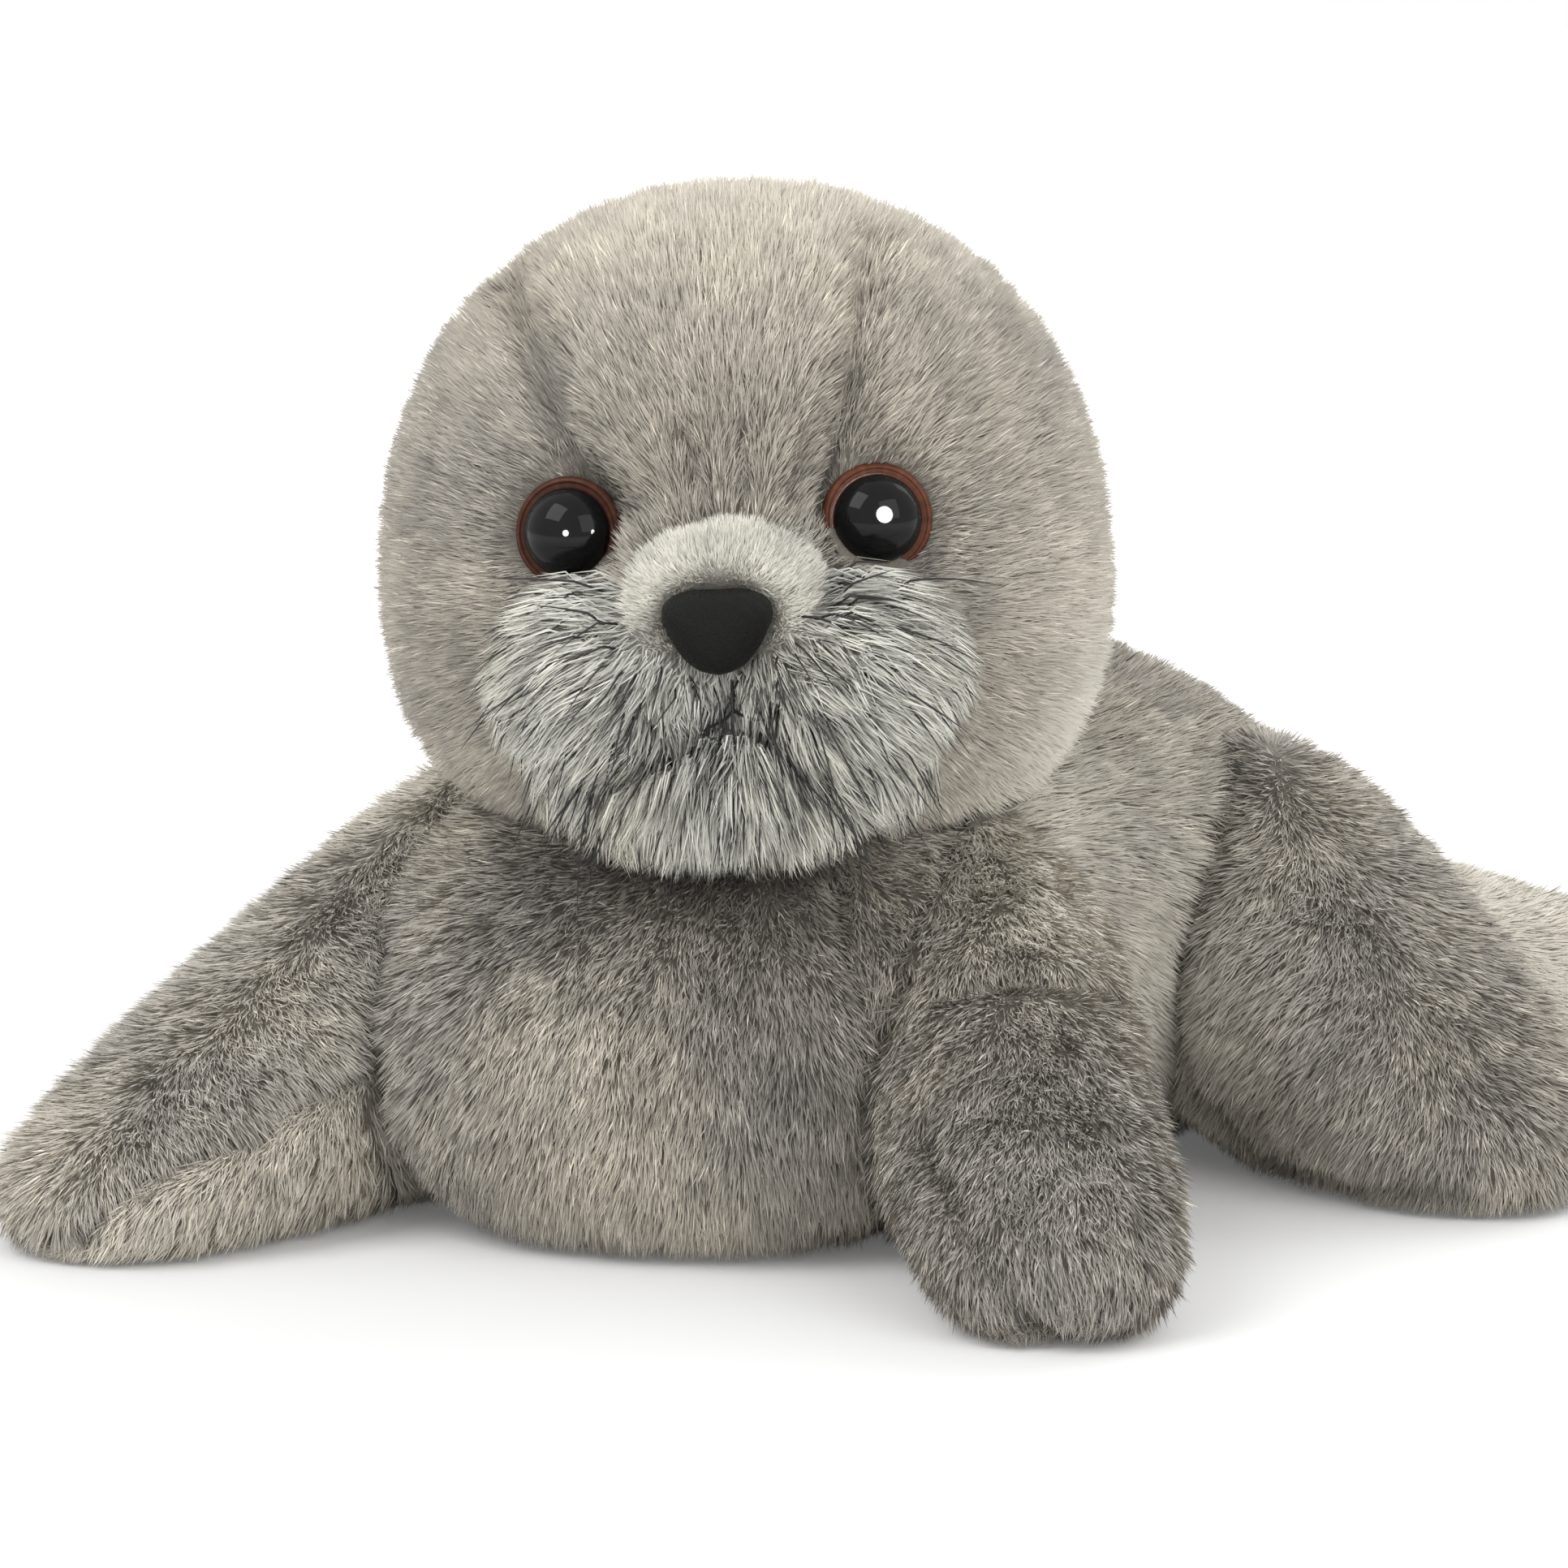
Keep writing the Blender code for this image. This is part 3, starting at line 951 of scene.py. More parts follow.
def landed(camera: PhotoCamera, trees: list[BVHTree], pixels: Array) -> Array:
    """Carry pixels of the photograph along their rays onto the nearest skin.

    Args:
        camera: the photograph's view.
        trees: one search tree for each skin.
        pixels: rows of x and y.

    Returns:
        The places where the rays land, without the rays that miss.
    """
    found = []
    for ray in camera.rays(pixels):
        hits = [tree.ray_cast(Vector(camera.place()), Vector(ray)) for tree in trees]
        near = [(hit[3], tuple(hit[0])) for hit in hits if hit[0] is not None]
        if near:
            found.append(min(near)[1])
    return np.array(found).reshape(-1, 3)


def traced(camera: PhotoCamera, trees: list[BVHTree], pixels: Spots) -> Array:
    """Carry a line drawn on the photograph onto the skins.

    Args:
        camera: the photograph's view.
        trees: one search tree for each skin.
        pixels: the line's corners.

    Returns:
        Dense points of the line on the nearest skin, or none where its pixels miss the skins.
    """
    found = landed(camera, trees, dense_path(np.array(pixels, float), PIXEL_STEP))
    return dense_path(found, PATH_STEP) if len(found) > 1 else found[:0]


@dataclass(frozen=True)
class Crease:
    """A seam or fold, placed by the photograph's pixels that it runs through; its shade is painted shade that
    darkens the hair along it.
    """

    name: str
    pixels: Spots
    depth: float
    width: float
    # shade: painted shade that darkens the hair along the crease's valley
    shade: float


@dataclass(frozen=True)
class Patch:
    """A cloud of colour in the coat, placed by a pixel of the photograph; a few patches are painted light or
    painted shade.
    """

    name: str
    pixel: tuple[float, float]
    radius: float
    cream: float
    dark: float


@dataclass
class Roots:
    """Where blades stand: places, skin normals, and values carried over from the skin."""

    places: Array
    normals: Array
    values: Array


def scatter(surface: Surface, values: Array, per_mm2: float, seed: int) -> Roots:
    """Spread roots evenly over a skin, thinned by the first value.

    A triangle is drawn by its area times its mean first value, and a place in it by the square
    root rule: shares 1 − √u, √u(1 − v) and √u·v of its corners.

    Args:
        surface: the skin.
        values: rows of values for each vertex, the first of them the share of hair kept.
        per_mm2: blades on each square millimetre where the share is one.
        seed: picks the places.

    Returns:
        The roots, with the skin's values at each.
    """
    rng = np.random.default_rng(seed)
    weights = surface.areas() * values[surface.faces, 0].mean(axis=1)
    count = int(weights.sum() * 1e6 * per_mm2)
    chosen = np.searchsorted(np.cumsum(weights), rng.uniform(0.0, weights.sum(), count))
    corners = surface.faces[np.minimum(chosen, len(surface.faces) - 1)]
    root, other = np.sqrt(rng.uniform(size=count)), rng.uniform(size=count)
    shares = np.stack([1.0 - root, root * (1.0 - other), root * other], axis=1)[:, :, None]
    return Roots(
        places=(surface.places[corners] * shares).sum(axis=1),
        normals=unit((surface.normals[corners] * shares).sum(axis=1)),
        values=(values[corners] * shares).sum(axis=1),
    )


LEAF_WIDEST = 0.6
SKIN_SHADING = 0.78
BLADE_SHADING = 0.34


class Cut(Enum):
    """Shape of one blade: a leaf is one triangle, a kite is two."""

    LEAF = "leaf"
    KITE = "kite"


@dataclass
class Blades:
    """Bent blades of fur: root, middle and tip, the way across, and each blade's values."""

    roots: Array
    middles: Array
    tips: Array
    across: Array
    normals: Array
    widths: Array
    chance: Array
    cream: Array
    dark: Array

    def keep(self, wanted: Array) -> "Blades":
        """The blades where wanted is true."""
        return Blades(**{name: values[wanted] for name, values in vars(self).items()})

    def lift_off_floor(self) -> None:
        """Lay what would reach through the floor flat on it."""
        for places, level in ((self.roots, 0.5), (self.middles, 1.0), (self.tips, 1.5)):
            places[:, 2] = np.maximum(places[:, 2], FLOOR_CLEARANCE * level)

    def mesh(self, name: str, cut: Cut) -> bpy.types.Mesh:
        """Turn each blade into a leaf of one triangle or a kite of two, bent at its middle.

        A kite's corners are the root, the middle plus and minus half the width across, and the
        tip. A leaf's are the root, a place 0.6 of the way plus the width across, and the tip. The
        shading normal leans from the skin's normal to the blade's own. Each blade has a square
        of its own in the map.

        Args:
            name: the mesh's name.
            cut: whether the blades are leaves or kites.

        Returns:
            The mesh of all the blades.
        """
        count = len(self.roots)
        offset = self.across * self.widths[:, None]
        blade_normal = unit(np.cross(self.across, self.tips - self.roots))
        turned = (blade_normal * self.normals).sum(axis=1) < 0.0
        blade_normal[turned] *= -1.0
        if cut is Cut.LEAF:
            wide = self.roots + LEAF_WIDEST * (self.tips - self.roots) + offset
            places = np.stack([self.roots, wide, self.tips], axis=1)
            order = np.where(turned[:, None, None], ((0, 2, 1),), ((0, 1, 2),))
            along = np.tile((0.0, LEAF_WIDEST, 1.0), count)
            shape = np.array(((0.12, 0.12), (0.88, 0.5), (0.12, 0.88)))
        else:
            sides = (self.middles - offset / 2, self.middles + offset / 2)
            places = np.stack([self.roots, *sides, self.tips], axis=1)
            order = np.where(turned[:, None, None], ((0, 1, 2), (1, 3, 2)), ((0, 2, 1), (1, 2, 3)))
            along = np.tile((0.0, 0.5, 0.5, 1.0), count)
            shape = np.array(((0.5, 0.08), (0.15, 0.5), (0.85, 0.5), (0.5, 0.92)))
        corners = len(shape)
        faces = (np.arange(count)[:, None, None] * corners + order).reshape(-1, 3)
        mesh = new_mesh(name, places.reshape(-1, 3), faces)
        shading = unit(SKIN_SHADING * self.normals + BLADE_SHADING * blade_normal)
        layer = mesh.attributes.new("custom_normal", "FLOAT_VECTOR", "POINT")
        layer.data.foreach_set("vector", np.repeat(shading, corners, axis=0).astype(np.float32).ravel())
        own = [np.repeat(values, corners) for values in (self.chance, self.cream, self.dark)]
        put_values(mesh, "strand", np.stack([along, *own], axis=1))
        side = math.ceil(math.sqrt(count))
        cell = np.stack([np.arange(count) % side, np.arange(count) // side], axis=1)
        put_uv(mesh, "OFBake", ((cell[:, None, :] + shape) / side).reshape(-1, 2))
        return mesh


@dataclass(frozen=True)
class Pile:
    """How a pile is cut and combed: its length, blade width, density, lift and tufting."""

    length: float
    width: float
    per_mm2: float
    lift: float
    bend: float
    spread: float
    tuft_size: float
    tuft_pull: float
    tuft_tone: float
    seed: int
    swirl_size: float = 9 * MM
    swirl: float = 0.55
    wave_size: float = 5 * MM
    wave: float = 0.16
    lift_spread: float = 0.16
    lengths: tuple[float, float] = (0.62, 1.12)
    widths: tuple[float, float] = (0.7, 1.25)
    twist: float = 0.55
    root_depth: float = 0.2 * MM

    def grow(self, roots: Roots, comb: Array, length_share: Array, cream: Array, dark: Array) -> Blades:
        """Grow one bent blade from each root.

        The blade leaves the skin at the lift plus half the bend, and its upper half lies over by
        the bend. Its heading is the comb turned by soft noise and by chance. Its tip is drawn to
        the mean tip of its tuft, and each tuft is a little lighter or darker than the next.

        Args:
            roots: where the blades stand.
            comb: the way each blade is combed, not yet laid into the skin.
            length_share: each blade's share of the pile's length.
            cream: each blade's share of cream.
            dark: how dark each blade is marked.

        Returns:
            The blades.
        """
        rng = np.random.default_rng(self.seed)
        count = len(roots.places)
        normal = roots.normals
        flat = unit(comb - (comb * normal).sum(axis=1, keepdims=True) * normal)
        side = np.cross(normal, flat)
        swirl = self.swirl * ripple(roots.places, self.swirl_size, self.seed + 1) + rng.normal(size=count)
        turn = (self.spread * swirl)[:, None]
        heading = flat * np.cos(turn) + side * np.sin(turn)
        wave = self.wave * ripple(roots.places, self.wave_size, self.seed + 2)
        lift = self.lift + wave + rng.normal(scale=self.lift_spread, size=count)
        low = np.clip(lift + self.bend / 2, 0.12, 1.45)[:, None]
        high = np.clip(lift - self.bend / 2, 0.03, 1.40)[:, None]
        reach = (self.length * length_share * rng.uniform(*self.lengths, count))[:, None]
        middles = roots.places + reach / 2 * (np.cos(low) * heading + np.sin(low) * normal)
        tips = middles + reach / 2 * (np.cos(high) * heading + np.sin(high) * normal)
        tuft = self.tufts(roots.places)
        sizes = np.bincount(tuft)
        means = np.stack([np.bincount(tuft, tips[:, axis]) / sizes for axis in range(3)], axis=1)
        tips += self.tuft_pull * (means[tuft] - tips)
        tone = self.tuft_tone * rng.normal(size=len(sizes))[tuft]
        along = tips - roots.places
        across = unit(np.cross(along, normal) + self.twist * rng.normal(size=(count, 3)))
        across = unit(across - (across * unit(along)).sum(axis=1, keepdims=True) * unit(along))
        return Blades(
            roots=roots.places - self.root_depth * normal,
            middles=middles,
            tips=tips,
            across=across,
            normals=normal,
            widths=self.width * rng.uniform(*self.widths, count),
            chance=rng.uniform(size=count),
            cream=cream,
            dark=np.clip(dark + tone, -0.9, 1.0),
        )

    def tufts(self, places: Array) -> Array:
        """Number the tufts: blades share one where they stand in the same cell of a wavy grid.

        Args:
            places: the roots.

        Returns:
            Each blade's tuft.
        """
        seeds = range(self.seed + 3, self.seed + 6)
        waves = np.stack([ripple(places, 4 * self.tuft_size, seed) for seed in seeds], axis=1)
        cells = np.floor((places + 0.5 * self.tuft_size * waves) / self.tuft_size).astype(np.int64)
        return np.unique(cells @ np.array((1, 4096, 4096 ** 2)), return_inverse=True)[1]


def add_pile(name: str, blades: Blades, fibre: bpy.types.Material, cut: Cut = Cut.LEAF) -> None:
    """Put a pile into the scene and onto the frame.

    Args:
        name: the piece's name.
        blades: its blades.
        fibre: the fur's material.
        cut: the shape of its blades.
    """
    blades.lift_off_floor()
    piece = new_object(name, blades.mesh(name, cut))
    piece.data.materials.append(fibre)
    place_on_frame(piece)


BODY_CUT = Pile(
    length=6.0 * MM,
    width=0.19 * MM,
    per_mm2=8.6,
    lift=math.radians(44),
    bend=math.radians(34),
    spread=math.radians(15),
    tuft_size=2.2 * MM,
    tuft_pull=0.28,
    tuft_tone=0.09,
    seed=11,
)
LIMB_CUT = Pile(
    length=5.6 * MM,
    width=0.19 * MM,
    per_mm2=8.6,
    lift=math.radians(27),
    bend=math.radians(22),
    spread=math.radians(16),
    tuft_size=2.2 * MM,
    tuft_pull=0.24,
    tuft_tone=0.07,
    seed=17,
)
HEAD_CUT = Pile(
    length=5.2 * MM,
    width=0.17 * MM,
    per_mm2=10.0,
    lift=math.radians(50),
    bend=math.radians(26),
    spread=math.radians(17),
    tuft_size=1.7 * MM,
    tuft_pull=0.20,
    tuft_tone=0.06,
    seed=23,
)
MUZZLE_CUT = Pile(
    length=11.0 * MM,
    width=0.28 * MM,
    per_mm2=8.8,
    lift=math.radians(30),
    bend=math.radians(28),
    spread=math.radians(15),
    tuft_size=3.0 * MM,
    tuft_pull=0.50,
    tuft_tone=0.16,
    seed=37,
)
BRIDGE_CUT = Pile(
    length=2.8 * MM,
    width=0.17 * MM,
    per_mm2=26.0,
    lift=math.radians(62),
    bend=math.radians(18),
    spread=math.radians(24),
    tuft_size=1.3 * MM,
    tuft_pull=0.12,
    tuft_tone=0.03,
    seed=41,
)
BRIDGE_OUTLINE = (
    (781, 757), (784, 712), (797, 692), (829, 666), (867, 653), (936, 651), (988, 666), (1003, 686),
    (1006, 710), (1001, 747), (964, 786), (948, 800), (815, 800), (789, 786),
)

UNDERSIDE_OUTLINE = (
    (456, 1315), (373, 1356), (327, 1394), (249, 1419), (182, 1452), (153, 1477), (104, 1514), (30, 1551),
    (30, 1640), (540, 1640), (540, 1540), (470, 1420), (453, 1370),
)

SEAM_DEPTH = 2.6 * MM
SEAM_WIDTH = 2.6 * MM
PUCKER_DEPTH = 1.0 * MM
PUCKER_WIDTH = 1.5 * MM
# Every crease's shade is painted shade: it darkens the hair in the seam's or fold's valley.
CREASES = (
    Crease("crown_seam_right", ((642, 325), (657, 366), (688, 468), (728, 586), (764, 650)),
           SEAM_DEPTH, SEAM_WIDTH, 0.45),
    Crease("crown_seam_left", ((1058, 300), (1050, 387), (1037, 468), (1022, 555), (1009, 627)),
           SEAM_DEPTH, SEAM_WIDTH, 0.45),
    Crease("pucker_right", ((845, 550), (872, 632)), PUCKER_DEPTH, PUCKER_WIDTH, 0.45),
    Crease("pucker_middle", ((912, 540), (918, 632)), PUCKER_DEPTH, PUCKER_WIDTH, 0.45),
    Crease("pucker_left", ((978, 550), (962, 632)), PUCKER_DEPTH, PUCKER_WIDTH, 0.40),
    Crease("brow_right", ((745, 600), (790, 640)), PUCKER_DEPTH, 2.0 * MM, 0.35),
    Crease("mouth_middle", ((903, 846), (905, 885)), 1.6 * MM, 2.2 * MM, 0.30),
    Crease("mouth_right", ((905, 885), (860, 905), (800, 935), (750, 990)), 2.4 * MM, 3.0 * MM, 0.30),
    Crease("mouth_left", ((905, 885), (955, 905), (1005, 945), (1050, 990)), 2.4 * MM, 3.0 * MM, 0.30),
    Crease("right_flipper_seam",
           ((456, 1315), (373, 1356), (327, 1394), (249, 1419), (182, 1452), (104, 1514)),
           2.0 * MM, 2.2 * MM, 0.50),
    Crease("right_flipper_root", ((497, 1166), (477, 1249), (460, 1290), (452, 1373), (469, 1419)),
           1.4 * MM, 2.4 * MM, 0.40),
    Crease("left_flipper_root", ((1179, 1223), (1214, 1210), (1277, 1203), (1339, 1214), (1366, 1219)),
           1.6 * MM, 2.2 * MM, 0.34),
    Crease("left_flipper_fold",
           ((1138, 1388), (1187, 1491), (1223, 1558), (1250, 1603), (1268, 1625), (1335, 1640)),
           2.0 * MM, 2.2 * MM, 0.40),
    Crease("left_flipper_edge", ((1031, 1089), (1045, 1179), (1085, 1277)), 1.2 * MM, 2.4 * MM, 0.35),
    Crease("haunch_crease", ((1535, 930), (1500, 1060), (1462, 1150), (1455, 1250), (1470, 1320)),
           1.8 * MM, 3.2 * MM, 0.50),
    Crease("haunch_sole", ((1470, 1320), (1560, 1410), (1680, 1450), (1800, 1455)), 1.2 * MM, 2.6 * MM, 0.45),
)
PATCHES = (
    Patch("crown_top", (960, 270), 24 * MM, 0.40, -0.40),
    Patch("crown_side", (790, 300), 14 * MM, 0.25, -0.20),
    Patch("temple_right", (600, 470), 13 * MM, -0.25, -0.02),
    Patch("forehead", (910, 480), 20 * MM, 0.0, -0.07),
    Patch("brow_left", (1180, 500), 12 * MM, 0.05, -0.06),
    Patch("cheek_left", (1300, 720), 16 * MM, 0.35, -0.28),
    Patch("cheek_left_low", (1290, 910), 17 * MM, 0.50, -1.05),
    Patch("cheek_right_low", (560, 960), 15 * MM, 0.40, -0.70),
    # chest_top and chest_top_left: a greyer coat, and painted shade under the chin.
    Patch("chest_top", (700, 1105), 14 * MM, -0.45, 0.10),
    Patch("chest_top_left", (940, 1120), 12 * MM, -0.30, 0.08),
    Patch("chest_middle", (700, 1260), 12 * MM, 0.25, -0.32),
    Patch("chest_side", (940, 1290), 11 * MM, -0.25, 0.08),
    Patch("chest_low", (780, 1460), 20 * MM, 0.25, -0.14),
    Patch("right_flipper_top", (330, 1240), 28 * MM, -0.10, -0.34),
    Patch("right_flipper_tip", (110, 1450), 14 * MM, 0.10, -0.30),
    Patch("left_flipper", (1290, 1440), 28 * MM, -0.25, -0.16),
    # left_shoulder_top and left_shoulder: painted light that lightens the shoulder's shade under the chin.
    Patch("left_shoulder_top", (1190, 1060), 12 * MM, 0.20, -0.60),
    Patch("left_shoulder", (1290, 1130), 14 * MM, 0.30, -0.50),
    Patch("flank", (1440, 960), 16 * MM, 0.25, -0.15),
    Patch("flank_low", (1420, 1250), 17 * MM, 0.60, -0.95),
    Patch("haunch", (1620, 1130), 24 * MM, -0.20, -0.22),
    # haunch_under: painted shade under the haunch, where the body is lifted off the floor.
    Patch("haunch_under", (1540, 1380), 9 * MM, 0.0, 0.45),
    Patch("far_lobe", (1850, 1170), 26 * MM, 0.70, -1.10),
)
MOUTH_RUNS = {
    "mouth_down_thread": ((903, 836), (905, 872)),
    "mouth_side_thread": ((905, 872), (896, 884), (866, 899)),
    "mouth_end_thread": ((905, 874), (925, 884), (946, 886)),
}
LIP_PATCHES = (
    Patch("under_nose", (886, 858), 5.0 * MM, 0.0, 0.22),
    Patch("lip_right", (815, 887), 5.5 * MM, 0.0, 0.22),
    Patch("lip_left", (978, 836), 6.5 * MM, 0.0, 0.26),
    Patch("lip_right_low", (790, 932), 4 * MM, 0.0, 0.40),
    Patch("lip_right_end", (765, 958), 3.5 * MM, 0.0, 0.30),
    Patch("lip_left_low", (952, 925), 4 * MM, 0.0, 0.40),
    Patch("lip_left_end", (985, 950), 3.5 * MM, 0.0, 0.30),
)


DOWN_WAY = np.array((0.0, 0.0, -1.0))
TAIL_WAY = np.array((0.25, 0.97, 0.0))


class Comb(Enum):
    """Which way a section's pile is combed."""

    FROM_NOSE = "from_nose"
    DOWN_AND_BACK = "down_and_back"
    DOWN = "down"
    TO_TIP = "to_tip"


@dataclass
class Coat:
    """All the stuffed sections and the fur on them."""

    camera: PhotoCamera
    head: HeadFrame
    eye_radius: float = 7.7 * MM
    eye_depth: float = 4 * MM
    eye_back: float = 12 * MM
    nose_half: tuple[float, float] = (7.6 * MM, 6.4 * MM)
    nose_taper: float = 0.28
    nose_back: float = 30 * MM
    muzzle_fall: float = 0.42
    torso_cream: float = 0.42
    limb_cream_above: float = 0.40
    limb_cream_below: float = 0.40
    underside_cream: float = 0.6
    underside_light: float = 0.34
    head_cream: float = 0.45
    crown_cream: float = 0.20
    crown_levels: tuple[float, float] = (55 * MM, 100 * MM)
    eye_part: float = 6 * MM
    # eye_shade_width and eye_shade: a ring of painted shade round each eye's socket.
    eye_shade_width: float = 3 * MM
    eye_shade: float = 0.40
    seam_part: float = 8 * MM
    # seam_shade_width, seam_shade_outside and seam_shade_inside: painted shade along the crown's seams,
    # stronger outside them.
    seam_shade_width: float = 3.2 * MM
    seam_shade_outside: float = 0.42
    seam_shade_inside: float = 0.10
    black_tips: float = 0.035
    lip_black_tips: float = 0.55
    muzzle_short: float = 0.38
    muzzle_growth: float = 0.68
    muzzle_growth_reach: tuple[float, float] = (7 * MM, 19 * MM)
    muzzle_cream: float = 0.35
    muzzle_cream_growth: float = 0.35
    muzzle_cream_reach: tuple[float, float] = (10 * MM, 28 * MM)
    cloud_cream: float = 0.10
    cloud_dark: float = 0.03
    deepest_shade: float = 0.85
    bridge_low: float = 49.5 * MM
    bridge_front: float = 36 * MM
    burial: float = 0.7 * MM
    pressed_gap: float = 2.2 * MM
    lean_gap: float = 5.0 * MM
    rim_tuck: float = 3.0 * MM
    largest_pile: int = 195000
    sections: dict[str, StuffedSection] = field(default_factory=dict)
    trees: list[BVHTree] = field(init=False, default_factory=list)
    creases: list[tuple[Crease, Array]] = field(init=False, default_factory=list)
    patches: list[tuple[Patch, Array]] = field(init=False, default_factory=list)
    lip_patches: list[tuple[Patch, Array]] = field(init=False, default_factory=list)

    def __post_init__(self) -> None:
        """List the stuffed sections with their voxels, fills and slots."""
        limb = {"voxel": 3.4 * MM, "fill": 0.55}
        for section in (
            StuffedSection("torso", 4.6 * MM, 0.6),
            StuffedSection("head", 4.0 * MM, 0.85),
            StuffedSection("muzzle", 2.6 * MM, 0.8, slot="muzzle_fur", swell=0.9 * MM, inset=1.0 * MM),
            StuffedSection("front_flipper_right", **limb),
            StuffedSection("front_flipper_left", inset=2.6 * MM, **limb),
            StuffedSection("hind_flipper_left", **limb),
            StuffedSection("hind_flipper_right", **limb),
        ):
            self.sections[section.node] = section

    def build_skins(self) -> None:
        """Copy, draw back, blow up and refine every skin, then draw in the seams."""
        sections = list(self.sections.values())
        for section in sections:
            section.copy_node()
        for section in sections:
            others = [other for other in sections if other is not section]
            section.draw_back(others)
        simulate_stuffing(sections)
        for section in sections:
            section.refine()
        self.tuck_muzzle_rim()
        self.trace_creases()
        self.draw_in_creases()
        backing, white = BODY_BACKING.material(), MUZZLE_BACKING.material()
        for section in sections:
            section.finish(white if section.slot == "muzzle_fur" else backing)

    def tuck_muzzle_rim(self) -> None:
        """Push the muzzle's thin rim into the head, so that the seam lies under the pile."""
        muzzle = self.sections["muzzle"]
        height, facing = self.sections["head"].solid.height_over(muzzle.surface.places)
        sunk = self.rim_tuck * (1.0 - smooth_step(0.6 * MM, 2.6 * MM, height))
        muzzle.set_places(muzzle.surface.places - facing * sunk[:, None])

    def trace_creases(self) -> None:
        """Find every crease and colour patch on the skins."""
        depsgraph = bpy.context.evaluated_depsgraph_get()
        self.trees = [BVHTree.FromObject(section.piece, depsgraph) for section in self.sections.values()]
        for crease in CREASES:
            path = traced(self.camera, self.trees, crease.pixels)
            if len(path):
                self.creases.append((crease, path))
            else:
                LOG.warning("%s: its pixels miss the skins", crease.name)
        self.patches = self.place_patches(PATCHES)
        self.lip_patches = self.place_patches(LIP_PATCHES)

    def place_patches(self, patches: tuple[Patch, ...]) -> list[tuple[Patch, Array]]:
        """Carry each patch's pixel onto the skins, and leave out those that miss.

        Args:
            patches: the clouds of colour.

        Returns:
            Each patch with its place.
        """
        placed = []
        for patch in patches:
            spots = landed(self.camera, self.trees, np.array([patch.pixel], float))
            if len(spots):
                placed.append((patch, spots[0]))
            else:
                LOG.warning("%s: its pixel misses the skins", patch.name)
        return placed

    def on_bridge(self, places: Array) -> Array:
        """Whether each place shows inside the bridge's outline, on the front of the head."""
        front = self.head.to_head(places)[:, 1] > self.bridge_front
        return front & inside(self.camera.pixels(places), np.array(BRIDGE_OUTLINE, float))

    def draw_in_creases(self) -> None:
        """Pull the skins in along the creases: depth times e to the −(gap ÷ width)²."""
        for section in self.sections.values():
            places, normals = section.surface.places, section.surface.normals
            sunk = np.zeros(len(places))
            for crease, path in self.creases:
                gap, _ = path_gap(places, path)
                sunk = np.maximum(sunk, crease.depth * np.exp(-(gap / crease.width) ** 2))
            section.set_places(places - normals * sunk[:, None])

    def cover_values(self, section: StuffedSection) -> tuple[Array, Array]:
        """Work out where a skin shows, and which way its hair leans out of the creases.

        Args:
            section: the skin.

        Returns:
            The share of hair kept for each vertex, and a lean direction for each.
        """
        places, normals = section.surface.places, section.surface.normals
        share = np.ones(len(places))
        lean = np.zeros_like(places)
        for other in self.sections.values():
            if other is section:
                continue
            height, facing = other.solid.height_over(places)
            buried = height < -self.burial
            pressed = (height < self.pressed_gap) & ((normals * facing).sum(axis=1) < -0.55)
            share[buried | pressed] = 0.0
            lean += facing * (1.0 - smooth_step(0.0, self.lean_gap, np.maximum(height, 0.0)))[:, None]
        share[places[:, 2] < 2.0 * MM] *= 0.45
        return share, lean

    def comb_field(self, section: StuffedSection, places: Array, comb: Comb) -> Array:
        """Direction of the comb at each place, before it is laid into the skin.

        Args:
            section: the skin that the places are on.
            places: the roots.
            comb: the section's way of combing.

        Returns:
            One direction for each place.
        """
        if comb is Comb.FROM_NOSE:
            way = unit(places - self.head.nose())
            back = smooth_step(0.0, 60 * MM, -self.head.to_head(places)[:, 1] + 20 * MM)[:, None]
            return unit(way - back * (0.5 * self.head.up + 0.4 * self.head.forward))
        if comb is Comb.DOWN_AND_BACK:
            chest = smooth_step(20 * MM, -25 * MM, places[:, 1])[:, None]
            return unit(TAIL_WAY * (1.0 - chest) * 0.8 + 0.9 * DOWN_WAY)
        spots = section.surface.places
        outward = np.linalg.eigh(np.cov((spots - spots.mean(axis=0)).T))[1][:, -1]
        if (spots.mean(axis=0) - self.sections["torso"].surface.places.mean(axis=0)) @ outward < 0:
            outward = -outward
        if comb is Comb.TO_TIP:
            return unit(outward + 0.35 * DOWN_WAY + np.zeros_like(places))
        under = self.under_right_flipper(places)[:, None]
        return unit(np.where(under, 0.9 * outward + 0.5 * DOWN_WAY, DOWN_WAY - 0.35 * outward))

    def under_right_flipper(self, places: Array) -> Array:
        """Whether each place shows under the right flipper's seam."""
        return inside(self.camera.pixels(places), np.array(UNDERSIDE_OUTLINE, float))

    def colour_values(self, places: Array, base_cream: Array) -> tuple[Array, Array, Array]:
        """Add up the coat's patches and creases at each place; the creases add painted shade, and a few
        patches add painted light or shade.

        Args:
            places: the roots.
            base_cream: each root's share of cream before the patches.

        Returns:
            The share of cream, the shade of each place, and how near a crease it lies.
        """
        cream = base_cream + self.cloud_cream * ripple(places, 30 * MM, 5)
        dark = self.cloud_dark * np.maximum(ripple(places, 16 * MM, 6), 0.0)
        for patch, spot in self.patches:
            near = np.exp(-((np.linalg.norm(places - spot, axis=1) / patch.radius) ** 2))
            cream = cream + patch.cream * near
            dark = dark + patch.dark * near
        crease_near = np.zeros(len(places))
        for crease, path in self.creases:
            gap, _ = path_gap(places, path)
            near = np.exp(-((gap / (0.9 * crease.width)) ** 2))
            # a crease's shade is painted shade in its valley
            dark = dark + crease.shade * near
            crease_near = np.maximum(crease_near, near)
        return cream, np.clip(dark, -self.deepest_shade, self.deepest_shade), crease_near

